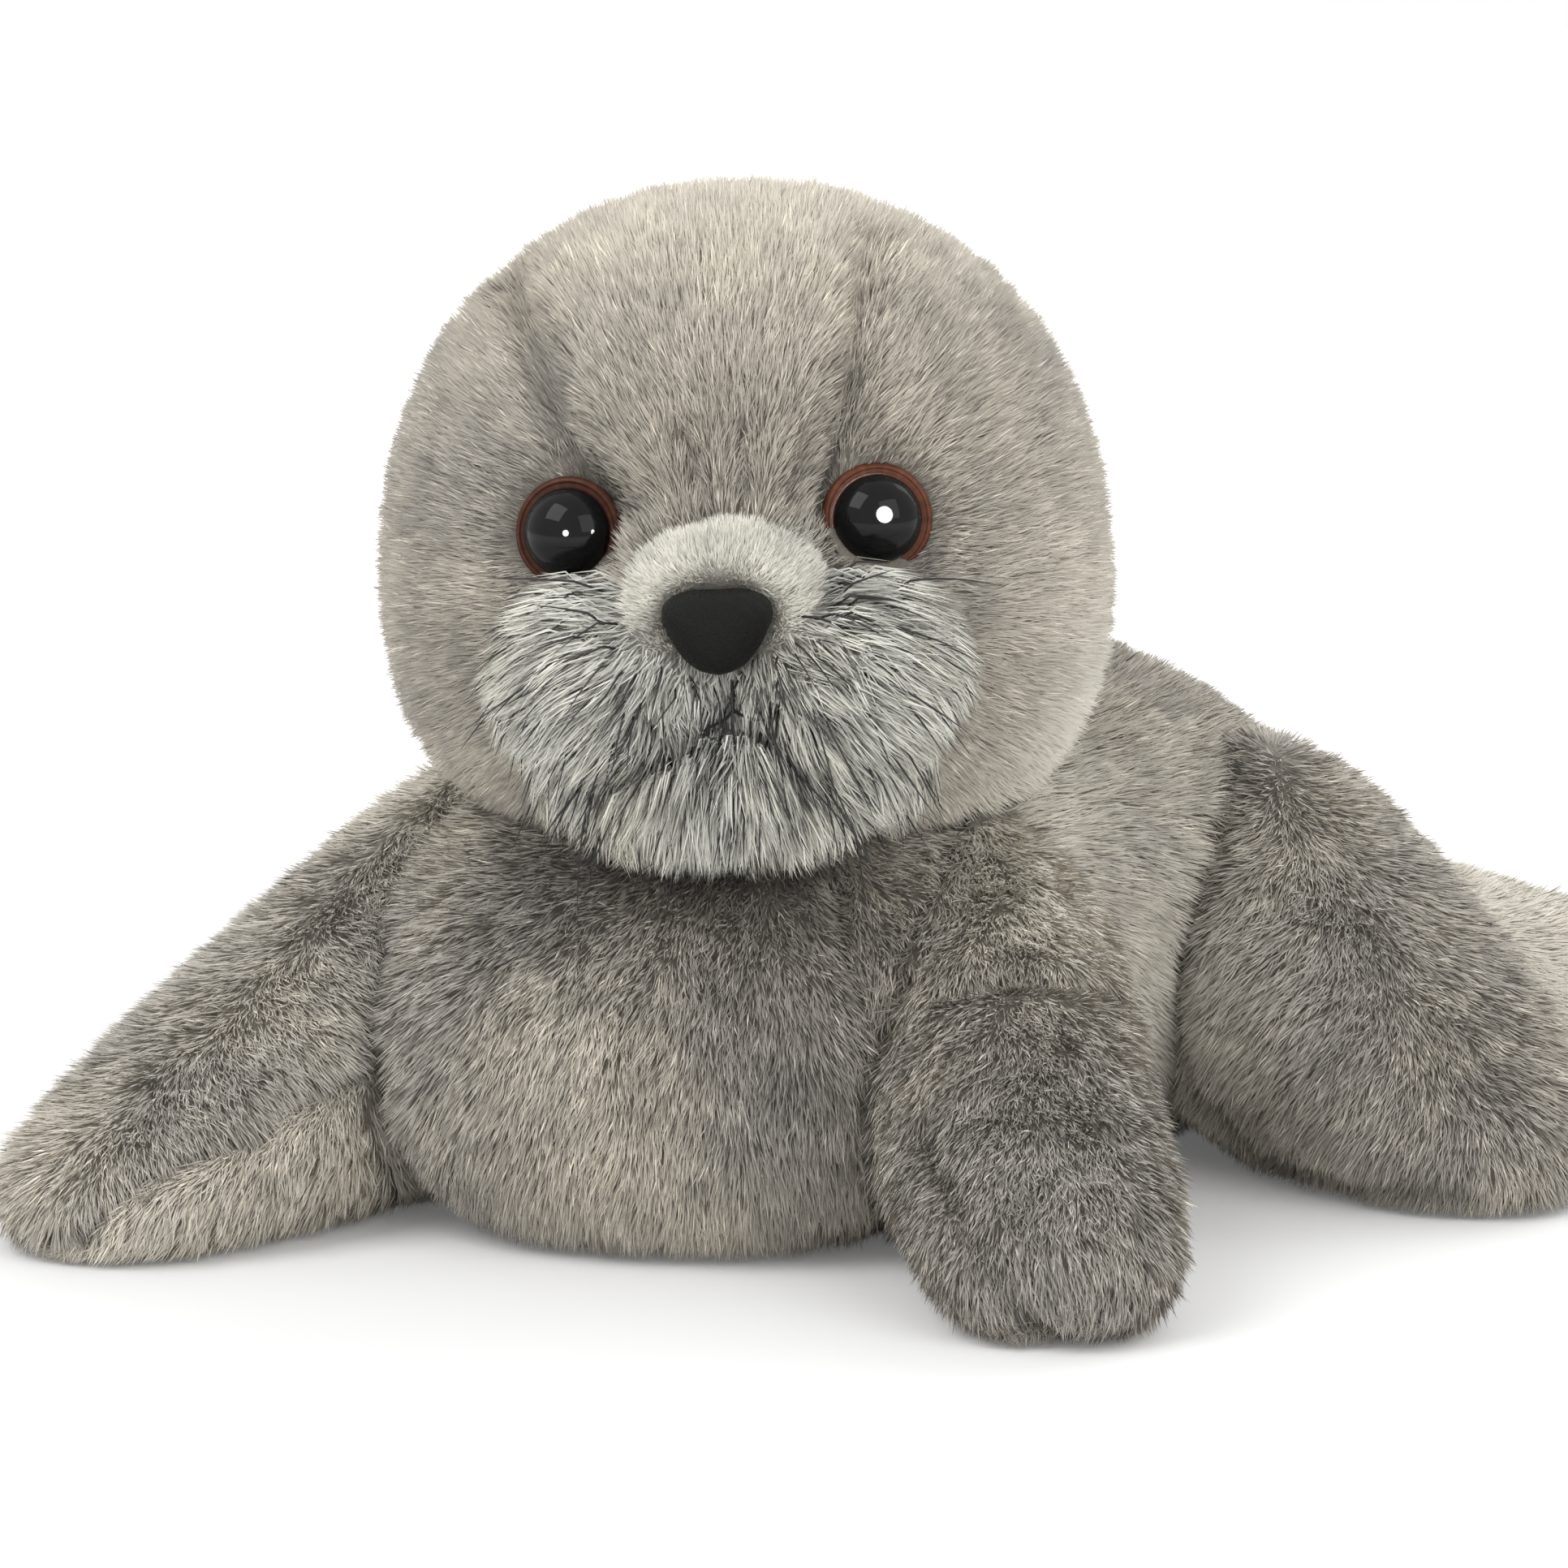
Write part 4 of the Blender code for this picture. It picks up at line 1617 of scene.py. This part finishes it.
    def clear_face(self, blades: Blades, overlap: float = 0.4 * MM) -> Blades:
        """Drop the blades whose upper half would lie over an eye or the nose.

        Args:
            blades: the blades near the face.
            overlap: how far hair may lie over a rim.

        Returns:
            The blades that leave the eyes and the nose free.
        """
        wanted = np.ones(len(blades.roots), bool)
        upper = (blades.middles, (blades.middles + blades.tips) / 2, blades.tips)
        for centre, axis in self.head.eyes.values():
            for places in (blades.roots, (blades.roots + blades.middles) / 2, *upper):
                away = places - centre
                height = away @ axis
                aside = np.linalg.norm(away - height[:, None] * axis, axis=1)
                wanted &= (aside > self.eye_radius - overlap) | (height < -self.eye_depth)
        for places in upper:
            local = self.head.to_head(places)
            across = local[:, 0] / self.nose_half[0]
            level = (local[:, 2] - self.head.nose_level) / self.nose_half[1]
            narrowed = across / (1.0 - self.nose_taper * np.clip(-level, 0.0, 1.0))
            wanted &= (narrowed ** 2 + level ** 2 >= 0.9) | (local[:, 1] <= self.nose_back)
        return blades.keep(wanted)

    def limb_cream(self, roots: Roots) -> Array:
        """Flippers are grey above and cream below: cream grows as the skin turns down."""
        return self.limb_cream_above + self.limb_cream_below * smooth_step(-0.30, -0.80, roots.normals[:, 2])

    def grow_body(self) -> None:
        """Grow the torso's and the flippers' pile."""
        fibre = BODY_PILE.material()
        for index, (node, comb) in enumerate((
            ("torso", Comb.DOWN_AND_BACK),
            ("front_flipper_right", Comb.DOWN),
            ("front_flipper_left", Comb.TO_TIP),
            ("hind_flipper_left", Comb.DOWN),
            ("hind_flipper_right", Comb.TO_TIP),
        )):
            section = self.sections[node]
            share, lean = self.cover_values(section)
            cut = BODY_CUT if node == "torso" else LIMB_CUT
            roots = scatter(section.surface, np.column_stack([share, lean]), cut.per_mm2, 100 + index)
            torso = np.full(len(roots.places), self.torso_cream)
            base = torso if node == "torso" else self.limb_cream(roots)
            cream, dark, near = self.colour_values(roots.places, base)
            if node == "front_flipper_right":
                under = self.under_right_flipper(roots.places)
                cream = cream + self.underside_cream * under
                dark = dark - self.underside_light * under
            way = self.comb_field(section, roots.places, comb) + 0.45 * roots.values[:, 1:4]
            blades = cut.grow(roots, way, 1.0 - 0.25 * near, cream, dark)
            self.add_halves(node + "_pile", blades, fibre)

    def add_halves(self, name: str, blades: Blades, fibre: bpy.types.Material) -> None:
        """Put a pile in as one piece, or as a front and a rear piece where it is a big one.

        Args:
            name: the pile's name.
            blades: its blades.
            fibre: the fur's material.
        """
        if len(blades.roots) <= self.largest_pile:
            add_pile(name, blades, fibre)
            return
        split = np.median(blades.roots[:, 1])
        add_pile(name + "_front", blades.keep(blades.roots[:, 1] < split), fibre)
        add_pile(name + "_rear", blades.keep(blades.roots[:, 1] >= split), fibre)

    def part_at_seams(self, roots: Roots) -> tuple[Array, Array]:
        """Part the hair at the crown's seams: outside them it lies away, with its roots in view, and painted
        shade darkens the seam's valley.

        Args:
            roots: where the head's blades stand.

        Returns:
            How far each blade leans away from a seam, as a direction, and the painted shade it gets there.
        """
        lean, dark = np.zeros_like(roots.places), np.zeros(len(roots.places))
        across = self.head.to_head(roots.places)[:, 0]
        for crease, path in self.creases:
            if not crease.name.startswith("crown"):
                continue
            gap, rows = path_gap(roots.places, path)
            outside = np.abs(across) > np.abs(self.head.to_head(path)[rows, 0])
            near = np.where(outside, 1.0 - smooth_step(1.0 * MM, self.seam_part, gap), 0.0)
            lean += near[:, None] * unit(roots.places - path[rows])
            # painted shade along the seam, stronger on the outer side
            shade = np.where(outside, self.seam_shade_outside, self.seam_shade_inside)
            dark += shade * np.exp(-(gap / self.seam_shade_width) ** 2)
        return lean, dark

    def grow_head(self) -> None:
        """Grow the head's pile, shorter round the eyes with painted shade round their sockets, and parted at
        the crown's seams.
        """
        section = self.sections["head"]
        share, lean = self.cover_values(section)
        share = share * ~self.on_bridge(section.surface.places)
        roots = scatter(section.surface, np.column_stack([share, lean]), HEAD_CUT.per_mm2, 200)
        local = self.head.to_head(roots.places)
        crown = smooth_step(*self.crown_levels, local[:, 2])
        cream, dark, near = self.colour_values(roots.places, self.head_cream + self.crown_cream * crown)
        parted, seam_dark = self.part_at_seams(roots)
        way = self.comb_field(section, roots.places, Comb.FROM_NOSE)
        way += 0.8 * roots.values[:, 1:4] + 1.3 * parted
        dark = dark + seam_dark
        length = 1.0 - 0.45 * near
        for centre, axis in self.head.eyes.values():
            away = roots.places - centre
            aside = away - (away @ axis)[:, None] * axis
            behind = np.maximum(-self.eye_back - away @ axis, 0.0)
            gap = np.linalg.norm(aside, axis=1) + 2.0 * behind
            close = 1.0 - smooth_step(self.eye_radius, self.eye_radius + self.eye_part, gap)
            way += 1.6 * close[:, None] * unit(aside)
            length *= 1.0 - 0.35 * close
            # a ring of painted shade round the eye's socket
            rim = 1.0 - smooth_step(self.eye_radius, self.eye_radius + self.eye_shade_width, gap)
            dark = dark + self.eye_shade * rim
        blades = self.clear_face(HEAD_CUT.grow(roots, way, length, cream, dark))
        self.add_halves("head_pile", blades, BODY_PILE.material())

    def muzzle_comb(self, places: Array) -> Array:
        """Way of the muzzle's hair: out from above the nose, and down more than out."""
        middle = self.head.nose() + 3 * MM * self.head.up
        return unit(places - middle) + self.muzzle_fall * DOWN_WAY

    def grow_muzzle(self) -> None:
        """Grow the long white pile of the muzzle and what lies above it.

        The hair is longer and creamier away from the nose, and shorter and darker at the lips.
        """
        section = self.sections["muzzle"]
        share, lean = self.cover_values(section)
        bridge = self.on_bridge(section.surface.places)
        above = (self.head.to_head(section.surface.places)[:, 2] > self.bridge_low) & ~bridge
        nose = self.head.nose()
        values = np.column_stack([share * ~(bridge | above), lean])
        roots = scatter(section.surface, values, MUZZLE_CUT.per_mm2, 300)
        rng = np.random.default_rng(301)
        reach = np.linalg.norm(roots.places - nose, axis=1)
        lip = np.zeros(len(reach))
        for patch, spot in self.lip_patches:
            lip += patch.dark * np.exp(-((np.linalg.norm(roots.places - spot, axis=1) / patch.radius) ** 2))
        black = rng.uniform(size=len(reach)) < self.black_tips + self.lip_black_tips * lip
        dark = np.where(black, rng.uniform(0.7, 1.0, len(reach)), np.clip(0.75 * lip, 0.0, 0.5))
        cream = self.muzzle_cream + self.muzzle_cream_growth * smooth_step(*self.muzzle_cream_reach, reach)
        cream = cream + 0.12 * ripple(roots.places, 14 * MM, 8)
        length = self.muzzle_short + self.muzzle_growth * smooth_step(*self.muzzle_growth_reach, reach)
        length = length * (1.0 - 0.6 * np.clip(lip, 0.0, 0.6))
        way = self.muzzle_comb(roots.places) + 0.4 * roots.values[:, 1:4]
        blades = self.clear_face(MUZZLE_CUT.grow(roots, way, length, cream, dark), 2.0 * MM)
        add_pile("muzzle_pile", blades, MUZZLE_PILE.material(), Cut.KITE)
        self.grow_bridge(share * bridge, share * above)

    def grow_bridge(self, bridge_share: Array, above_share: Array) -> None:
        """Grow the short velvet of the nose bridge, and the head's own pile above it.

        Args:
            bridge_share: hair kept on the muzzle's skin inside the bridge's outline.
            above_share: hair kept on the muzzle's skin above that outline.
        """
        muzzle, head = self.sections["muzzle"], self.sections["head"]
        head_share = self.cover_values(head)[0] * self.on_bridge(head.surface.places)
        fibre = BRIDGE_PILE.material()
        for name, section, share, seed in (("bridge_pile", muzzle, bridge_share, 310),
                                           ("bridge_edge_pile", head, head_share, 311)):
            roots = scatter(section.surface, share[:, None], BRIDGE_CUT.per_mm2, seed)
            way = unit(roots.places - self.head.nose()) + 0.15 * self.head.up
            full = np.ones(len(roots.places))
            blades = self.clear_face(BRIDGE_CUT.grow(roots, way, full, 0.6 * full, 0.0 * full), 0.2 * MM)
            add_pile(name, blades, fibre)
        roots = scatter(muzzle.surface, above_share[:, None], HEAD_CUT.per_mm2, 312)
        cream, dark, near = self.colour_values(roots.places, np.full(len(roots.places), 0.40))
        way = self.comb_field(head, roots.places, Comb.FROM_NOSE)
        blades = self.clear_face(HEAD_CUT.grow(roots, way, 0.8 - 0.3 * near, cream, dark))
        add_pile("brow_pile", blades, BODY_PILE.material())


TUBE_SIDEWAYS = (0.31, 0.17, 0.94)
TURNED_WELD = 0.002 * MM


def circle_of(sides: int, one: Array, two: Array) -> Array:
    """Places of a unit circle's corners: cos a of one direction plus sin a of the other.

    Args:
        sides: how many corners.
        one: unit directions, with x, y and z last.
        two: unit directions that stand across them.

    Returns:
        The corners, with the circle's rows before x, y and z.
    """
    angle = np.arange(sides) / sides * 2 * math.pi
    return one[..., None, :] * np.cos(angle)[:, None] + two[..., None, :] * np.sin(angle)[:, None]


def ring_quads(rings: int, sides: int) -> Array:
    """Join rings of corners into quads.

    Args:
        rings: how many rings follow each other.
        sides: corners of each ring.

    Returns:
        Rows of four corners.
    """
    row = np.arange(rings - 1)[:, None] * sides
    corner = np.arange(sides)
    after = (corner + 1) % sides
    quads = np.stack([row + corner, row + after, row + sides + after, row + sides + corner], axis=-1)
    return quads.reshape(-1, 4)


def tube(name: str, paths: Array, radii: Array, sides: int) -> bpy.types.Mesh:
    """Carry a round profile along many paths at once.

    A ring's point is the path's point plus the radius times cos a and sin a of two directions
    that stand across the path. The ends close to a point.

    Args:
        name: the mesh's name.
        paths: places, as paths by points by x, y and z.
        radii: the radius at each point, as paths by points.
        sides: corners of the profile.

    Returns:
        The mesh, with a map named grid: u round the profile and v along the path.
    """
    count, points, _ = paths.shape
    ahead = unit(np.gradient(paths, axis=1))
    one = unit(np.cross(ahead, np.array(TUBE_SIDEWAYS)))
    places = paths[:, :, None] + radii[:, :, None, None] * circle_of(sides, one, np.cross(ahead, one))
    faces = (np.arange(count)[:, None, None] * points * sides + ring_quads(points, sides)).reshape(-1, 4)
    mesh = new_mesh(name, places.reshape(-1, 3), faces)
    u = np.tile(np.arange(sides) / sides, count * points)
    v = np.tile(np.repeat(np.arange(points) / (points - 1), sides), count)
    put_uv(mesh, "grid", np.stack([u, v], axis=1))
    return mesh


def turned_form(name: str, profile: Array, centre: Array, axis: Array, segments: int = 72) -> bpy.types.Mesh:
    """Turn a profile round an axis: centre plus height times the axis plus radius times a circle.

    Args:
        name: the mesh's name.
        profile: rows of radius and height, from the front pole to the back pole.
        centre: where height and radius are zero.
        axis: unit direction of height.
        segments: corners round the axis.

    Returns:
        The closed mesh, with a map named grid: u round the axis and v along the profile.
    """
    one = unit(np.cross(axis, (0.0, 0.0, 1.0)))
    radius, height = profile[:, :1, None], profile[:, 1:, None]
    places = centre + height * axis + radius * circle_of(segments, one, np.cross(axis, one))
    rings = len(profile)
    mesh = new_mesh(name, places.reshape(-1, 3), ring_quads(rings, segments)[:, ::-1])
    run = np.concatenate([[0.0], np.cumsum(np.linalg.norm(np.diff(profile, axis=0), axis=1))])
    u = np.tile(np.arange(segments) / segments, rings)
    put_uv(mesh, "grid", np.stack([u, np.repeat(run / run[-1], segments)], axis=1))
    grid = bmesh.new()
    grid.from_mesh(mesh)
    bmesh.ops.remove_doubles(grid, verts=grid.verts, dist=TURNED_WELD)
    bmesh.ops.recalc_face_normals(grid, faces=grid.faces)
    grid.to_mesh(mesh)
    grid.free()
    return mesh


DOME_RADIUS = 6.25 * MM
DOME_HEIGHT = 4.9 * MM
DOME_BASE = 0.55 * MM


def mirrored_ray(start: Array, ray: Array, centre: Array, axis: Array) -> tuple[Array, Array]:
    """Mirror a ray in an eye's dome, a ball squeezed along the eye's axis.

    Stretched back into a ball, the dome is met where |p + t·d| is its radius. Its normal there is
    the ball's, squeezed the same way, and the ray d leaves as d − 2(d·n)n.

    Args:
        start: where the ray starts.
        ray: its unit direction.
        centre: the eye's middle.
        axis: the eye's axis.

    Returns:
        Where the ray meets the dome, and its way after that.
    """
    stretch = np.eye(3) + (DOME_RADIUS / DOME_HEIGHT - 1.0) * np.outer(axis, axis)
    place, way = stretch @ (start - centre - DOME_BASE * axis), stretch @ ray
    half, rest = way @ place, place @ place - DOME_RADIUS ** 2
    reach = (-half - math.sqrt(max(half ** 2 - (way @ way) * rest, 0.0))) / (way @ way)
    normal = unit(stretch @ (place + reach * way))
    return start + reach * ray, ray - 2.0 * (ray @ normal) * normal


@dataclass
class Eye:
    """One toy eye: a brown ring with a rounded rim and a black dome with a stem in it."""

    side: str
    centre: Array
    axis: Array
    ring_radius: float = 7.9 * MM
    rim_radius: float = 0.8 * MM
    bore_radius: float = 2.3 * MM
    skirt: float = 0.2 * MM
    stem_radius: float = 1.9 * MM
    stem_length: float = 10.0 * MM

    def build(self, iris: bpy.types.Material, pupil: bpy.types.Material) -> None:
        """Turn the ring and the dome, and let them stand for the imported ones.

        Args:
            iris: the ring's material.
            pupil: the dome's material.
        """
        for name, profile, material, node, slot in (
            ("iris_ring_", self.ring_profile(), iris, "eye_iris_", "iris_plastic"),
            ("pupil_dome_", self.dome_profile(), pupil, "eye_pupil_", "pupil_plastic"),
        ):
            mesh = turned_form(name + self.side, profile, self.centre, self.axis)
            piece = new_object(name + self.side, mesh)
            piece.data.materials.append(material)
            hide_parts(node + self.side)
            place_on_frame(piece)

    def ring_profile(self) -> Array:
        """Closed profile of the ring: bore, dished front, half-round rim, flat back.

        Returns:
            Rows of radius and height.
        """
        flat = self.ring_radius - self.rim_radius
        front = np.linspace(self.bore_radius, flat, 14)
        dish = self.rim_radius * (0.35 + 0.65 * (front / self.ring_radius) ** 2)
        turn = np.linspace(math.pi / 2, -math.pi / 2, 13)
        rim = np.stack([flat + self.rim_radius * np.cos(turn), self.rim_radius * np.sin(turn)], axis=1)
        back = np.array(((self.bore_radius, -self.rim_radius), (self.bore_radius, dish[0])))
        return np.concatenate([np.stack([front, dish], axis=1), rim, back])

    def dome_profile(self) -> Array:
        """Closed profile of the dome: an ellipse's quarter, a short skirt, the back and the stem.

        Returns:
            Rows of radius and height.
        """
        turn = np.linspace(0.0, math.pi / 2, 22)
        back_height = DOME_BASE - self.skirt
        radius = DOME_RADIUS * np.sin(turn)
        height = DOME_BASE + DOME_HEIGHT * np.cos(turn)
        back = np.array((
            (DOME_RADIUS, back_height),
            (self.stem_radius, back_height),
            (self.stem_radius, -self.stem_length),
            (0.0, -self.stem_length),
        ))
        return np.concatenate([np.stack([radius, height], axis=1), back])


@dataclass
class Face:
    """The nose, the mouth thread and the whiskers."""

    camera: PhotoCamera
    head: HeadFrame
    coat: Coat
    thread_radius: float = 0.24 * MM
    thread_height: float = 1.4 * MM
    thread_sides: int = 10
    whisker_radius: float = 0.18 * MM
    whisker_sides: int = 4
    whisker_points: int = 9
    low_width: float = 0.30
    low_height: float = 6 * MM
    pile_height: float = 3.6 * MM

    def build(self) -> None:
        """Build every small part of the face."""
        self.build_nose()
        self.build_mouth()
        self.build_whiskers()

    def build_nose(self) -> None:
        """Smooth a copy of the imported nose, widen it low down and give it a leathery skin."""
        nose = joined_copy("nose", "nose_moulding")
        subdivide(nose, 2)
        places = Surface.of_mesh(nose.data).places
        local = self.head.to_head(places)
        low = smooth_step(0.0, -self.low_height, local[:, 2] - self.head.nose_level)
        wider = places + (self.low_width * low * local[:, 0])[:, None] * self.head.across
        nose.data.vertices.foreach_set("co", wider.astype(np.float32).ravel())
        nose.data.update()
        only_material(nose, NOSE_PLASTIC.material())
        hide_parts("nose")
        place_on_frame(nose)

    def build_mouth(self) -> None:
        """Lay the mouth's runs of thread under the nose, just above the short hair there."""
        material = MOUTH_THREAD.material()
        for name, pixels in MOUTH_RUNS.items():
            path = traced(self.camera, self.coat.trees, pixels)
            path = dense_path(path, THREAD_STEP) + self.thread_height * self.head.forward
            share = np.linspace(0.0, 1.0, len(path))
            radii = self.thread_radius * (1.0 - 0.6 * share ** 4)
            thread = new_object(name, tube(name, path[None], radii[None], self.thread_sides))
            thread.data.materials.append(material)
            place_on_frame(thread)

    def build_whiskers(self) -> None:
        """Grow the black hairs: a few long whiskers that stand out, and many short ones in the coat.

        Each rises through the pile in its first quarter, runs its length along its way, and bends
        and sags with the square of its share of the length.
        """
        material = WHISKER_FIBRE.material()
        section = self.coat.sections["muzzle"]
        share, _ = self.coat.cover_values(section)
        bare = self.coat.on_bridge(section.surface.places)
        bare |= self.head.to_head(section.surface.places)[:, 2] > self.coat.bridge_low
        reach = np.linalg.norm(section.surface.places - self.head.nose(), axis=1)
        for name, count, length, stand, least, seed in (
            ("whiskers", 30, (10 * MM, 17 * MM), 0.45, 13 * MM, 401),
            ("guard_hairs", 280, (6.5 * MM, 11 * MM), 0.26, 8 * MM, 411),
        ):
            roots = scatter(section.surface, (share * ~bare * (reach > least))[:, None], 0.4, seed)
            rng = np.random.default_rng(seed + 1)
            chosen = rng.permutation(len(roots.places))[:count]
            places, normals = roots.places[chosen], roots.normals[chosen]
            comb = self.coat.muzzle_comb(places)
            comb = unit(comb - (comb * normals).sum(axis=1, keepdims=True) * normals)
            way = unit(comb + stand * normals + 0.16 * rng.normal(size=places.shape))[:, None, :]
            along = np.linspace(0.0, 1.0, self.whisker_points)
            run = along[None, :, None]
            lengths = rng.uniform(*length, len(places))[:, None, None]
            bend = unit(np.cross(way, rng.normal(size=way.shape)))
            lifted = places[:, None, :] + self.pile_height * np.minimum(4.0 * run, 1.0) * normals[:, None, :]
            paths = lifted + lengths * (run * way + 0.12 * run ** 2 * bend + 0.16 * run ** 2 * DOWN_WAY)
            radii = np.tile(self.whisker_radius * (1.0 - 0.85 * along ** 2), (len(places), 1))
            hairs = new_object(name, tube(name, paths, radii, self.whisker_sides))
            hairs.data.materials.append(material)
            place_on_frame(hairs)


@dataclass
class Studio:
    """Floor, white surroundings and soft lamps."""

    camera: PhotoCamera
    floor_side: float = 6.0
    sky_level: float = 0.72
    # near_glow, far_glow and glow_reach: the floor's painted glow, weak near the seal and strong beyond the
    # reach.
    near_glow: float = 0.10
    far_glow: float = 0.8
    glow_reach: tuple[float, float] = (0.24, 0.62)
    lamp_distance: float = 0.9

    def build(self) -> None:
        """Set the view transform, then add the surroundings, the floor and the lamps."""
        bpy.context.scene.view_settings.view_transform = "Standard"
        self.add_surroundings()
        self.add_floor()
        self.add_lamp("key", (-0.5, -1.3, 1.5), 1.2, 16.0)
        self.add_lamp("fill", (1.5, -0.6, 0.9), 1.2, 8.0)
        self.add_lamp("back", (0.2, 1.5, 1.1), 1.4, 10.0)

    def white_for_camera(self, nodes: bpy.types.NodeTree) -> bpy.types.NodeSocket:
        """One where a camera, mirror or glass ray looks, and zero for the rest.

        Args:
            nodes: the node tree to build it in.

        Returns:
            The socket with the value.
        """
        rays = nodes.nodes.new("ShaderNodeLightPath")
        found = rays.outputs["Is Camera Ray"]
        for name in ("Is Glossy Ray", "Is Transmission Ray"):
            node = nodes.nodes.new("ShaderNodeMath")
            node.operation = "MAXIMUM"
            nodes.links.new(found, node.inputs[0])
            nodes.links.new(rays.outputs[name], node.inputs[1])
            found = node.outputs["Value"]
        return found

    def add_surroundings(self) -> None:
        """A white world: strength one to the camera, and the plain light level to the object."""
        world = bpy.data.worlds.new("white_tent")
        world.use_nodes = True
        tree = world.node_tree
        background = tree.nodes["Background"]
        background.inputs["Color"].default_value = (1.0, 1.0, 1.0, 1.0)
        level = tree.nodes.new("ShaderNodeMapRange")
        level.inputs["To Min"].default_value = self.sky_level
        level.inputs["To Max"].default_value = 1.0
        tree.links.new(self.white_for_camera(tree), level.inputs["Value"])
        tree.links.new(level.outputs["Result"], background.inputs["Strength"])
        bpy.context.scene.world = world

    def add_floor(self) -> None:
        """A wide white floor that keeps the object's shadow, with a painted glow seen by camera, mirror and
        glass rays that is weak near the seal and strong farther off.
        """
        half = self.floor_side / 2
        corners = np.array(((-half, -half, 0.0), (half, -half, 0.0), (half, half, 0.0), (-half, half, 0.0)))
        floor = new_object("studio_floor", new_mesh("studio_floor", corners, np.arange(4)[None]))
        nodes = Nodes("white_floor")
        nodes.set(Base_Color=(0.90, 0.90, 0.90, 1.0), Roughness=0.9, Specular_IOR_Level=0.1)
        nodes.set(Emission_Color=(1.0, 1.0, 1.0, 1.0))
        seen = self.white_for_camera(nodes.tree)
        reach = nodes.add("VectorMath", operation="LENGTH")
        nodes.wire(nodes.add("TexCoord").outputs["Object"], reach.inputs[0])
        near, far = self.glow_reach
        glow = nodes.curve(reach.outputs["Value"], ((near, self.near_glow), (far, self.far_glow)))
        nodes.wire(nodes.sum("MULTIPLY", seen, glow), nodes.shader.inputs["Emission Strength"])
        floor.data.materials.append(nodes.material)

    def add_lamp(self, name: str, place: Triple, size: float, power: float) -> bpy.types.Object:
        """Add a square soft lamp that looks at the seal.

        Args:
            name: the lamp's name.
            place: where it hangs.
            size: its side.
            power: its power in watts.

        Returns:
            The lamp.
        """
        data = bpy.data.lights.new(name, "AREA")
        data.size = size
        data.energy = power
        lamp = bpy.data.objects.new(name, data)
        lamp.location = place
        way = Vector(self.camera.target) - Vector(place)
        lamp.rotation_euler = way.to_track_quat("-Z", "Y").to_euler()
        bpy.context.scene.collection.objects.link(lamp)
        return lamp

    def add_eye_lamps(self, head: HeadFrame) -> None:
        """Hang the round lamps whose mirror images are the bright spots in the eyes.

        Each hangs where the camera's ray through its spot goes after the dome has mirrored it,
        and lights nothing but that dome.

        Args:
            head: gives the middles and axes of the eyes.
        """
        for name, side, pixel, size, power in (
            ("spot_round", "left", (1090.0, 634.0), 0.55, 60.0),
            ("spot_small", "right", (697.0, 657.0), 0.20, 9.0),
            ("spot_side", "right", (731.0, 656.0), 0.20, 9.0),
        ):
            centre, axis = head.eyes[side]
            ray = self.camera.rays(np.array([pixel]))[0]
            place, way = mirrored_ray(self.camera.place(), ray, centre, axis)
            lamp = self.add_lamp(name, tuple(place + self.lamp_distance * way), size, power)
            lamp.data.shape = "DISK"
            lamp.visible_diffuse = False
            lamp.visible_transmission = False
            seen_by = bpy.data.collections.new(name + "_dome")
            seen_by.objects.link(bpy.data.objects["pupil_dome_" + side])
            lamp.light_linking.receiver_collection = seen_by


def dress_washers() -> None:
    """Give the three hidden lock washers their moulded plastic."""
    material = WASHER_PLASTIC.material()
    for node in ("nose_washer", "eye_washer_left", "eye_washer_right"):
        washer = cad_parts[node]
        washer.data.materials.clear()
        washer.data.materials.append(material)


def main() -> None:
    """Build the studio, the skins and their pile, the eyes and the face, in that order."""
    logging.basicConfig(level=logging.INFO, format="%(name)s: %(message)s")
    camera = PhotoCamera()
    camera.add()
    studio = Studio(camera)
    studio.build()
    head = HeadFrame()
    coat = Coat(camera, head)
    coat.build_skins()
    coat.grow_body()
    coat.grow_head()
    coat.grow_muzzle()
    pupil = PUPIL_PLASTIC.material()
    for side, (centre, axis) in head.eyes.items():
        Eye(side, centre, axis).build(IRISES[side].material(), pupil)
    studio.add_eye_lamps(head)
    Face(camera, head, coat).build()
    dress_washers()


if __name__ == "__main__":
    main()
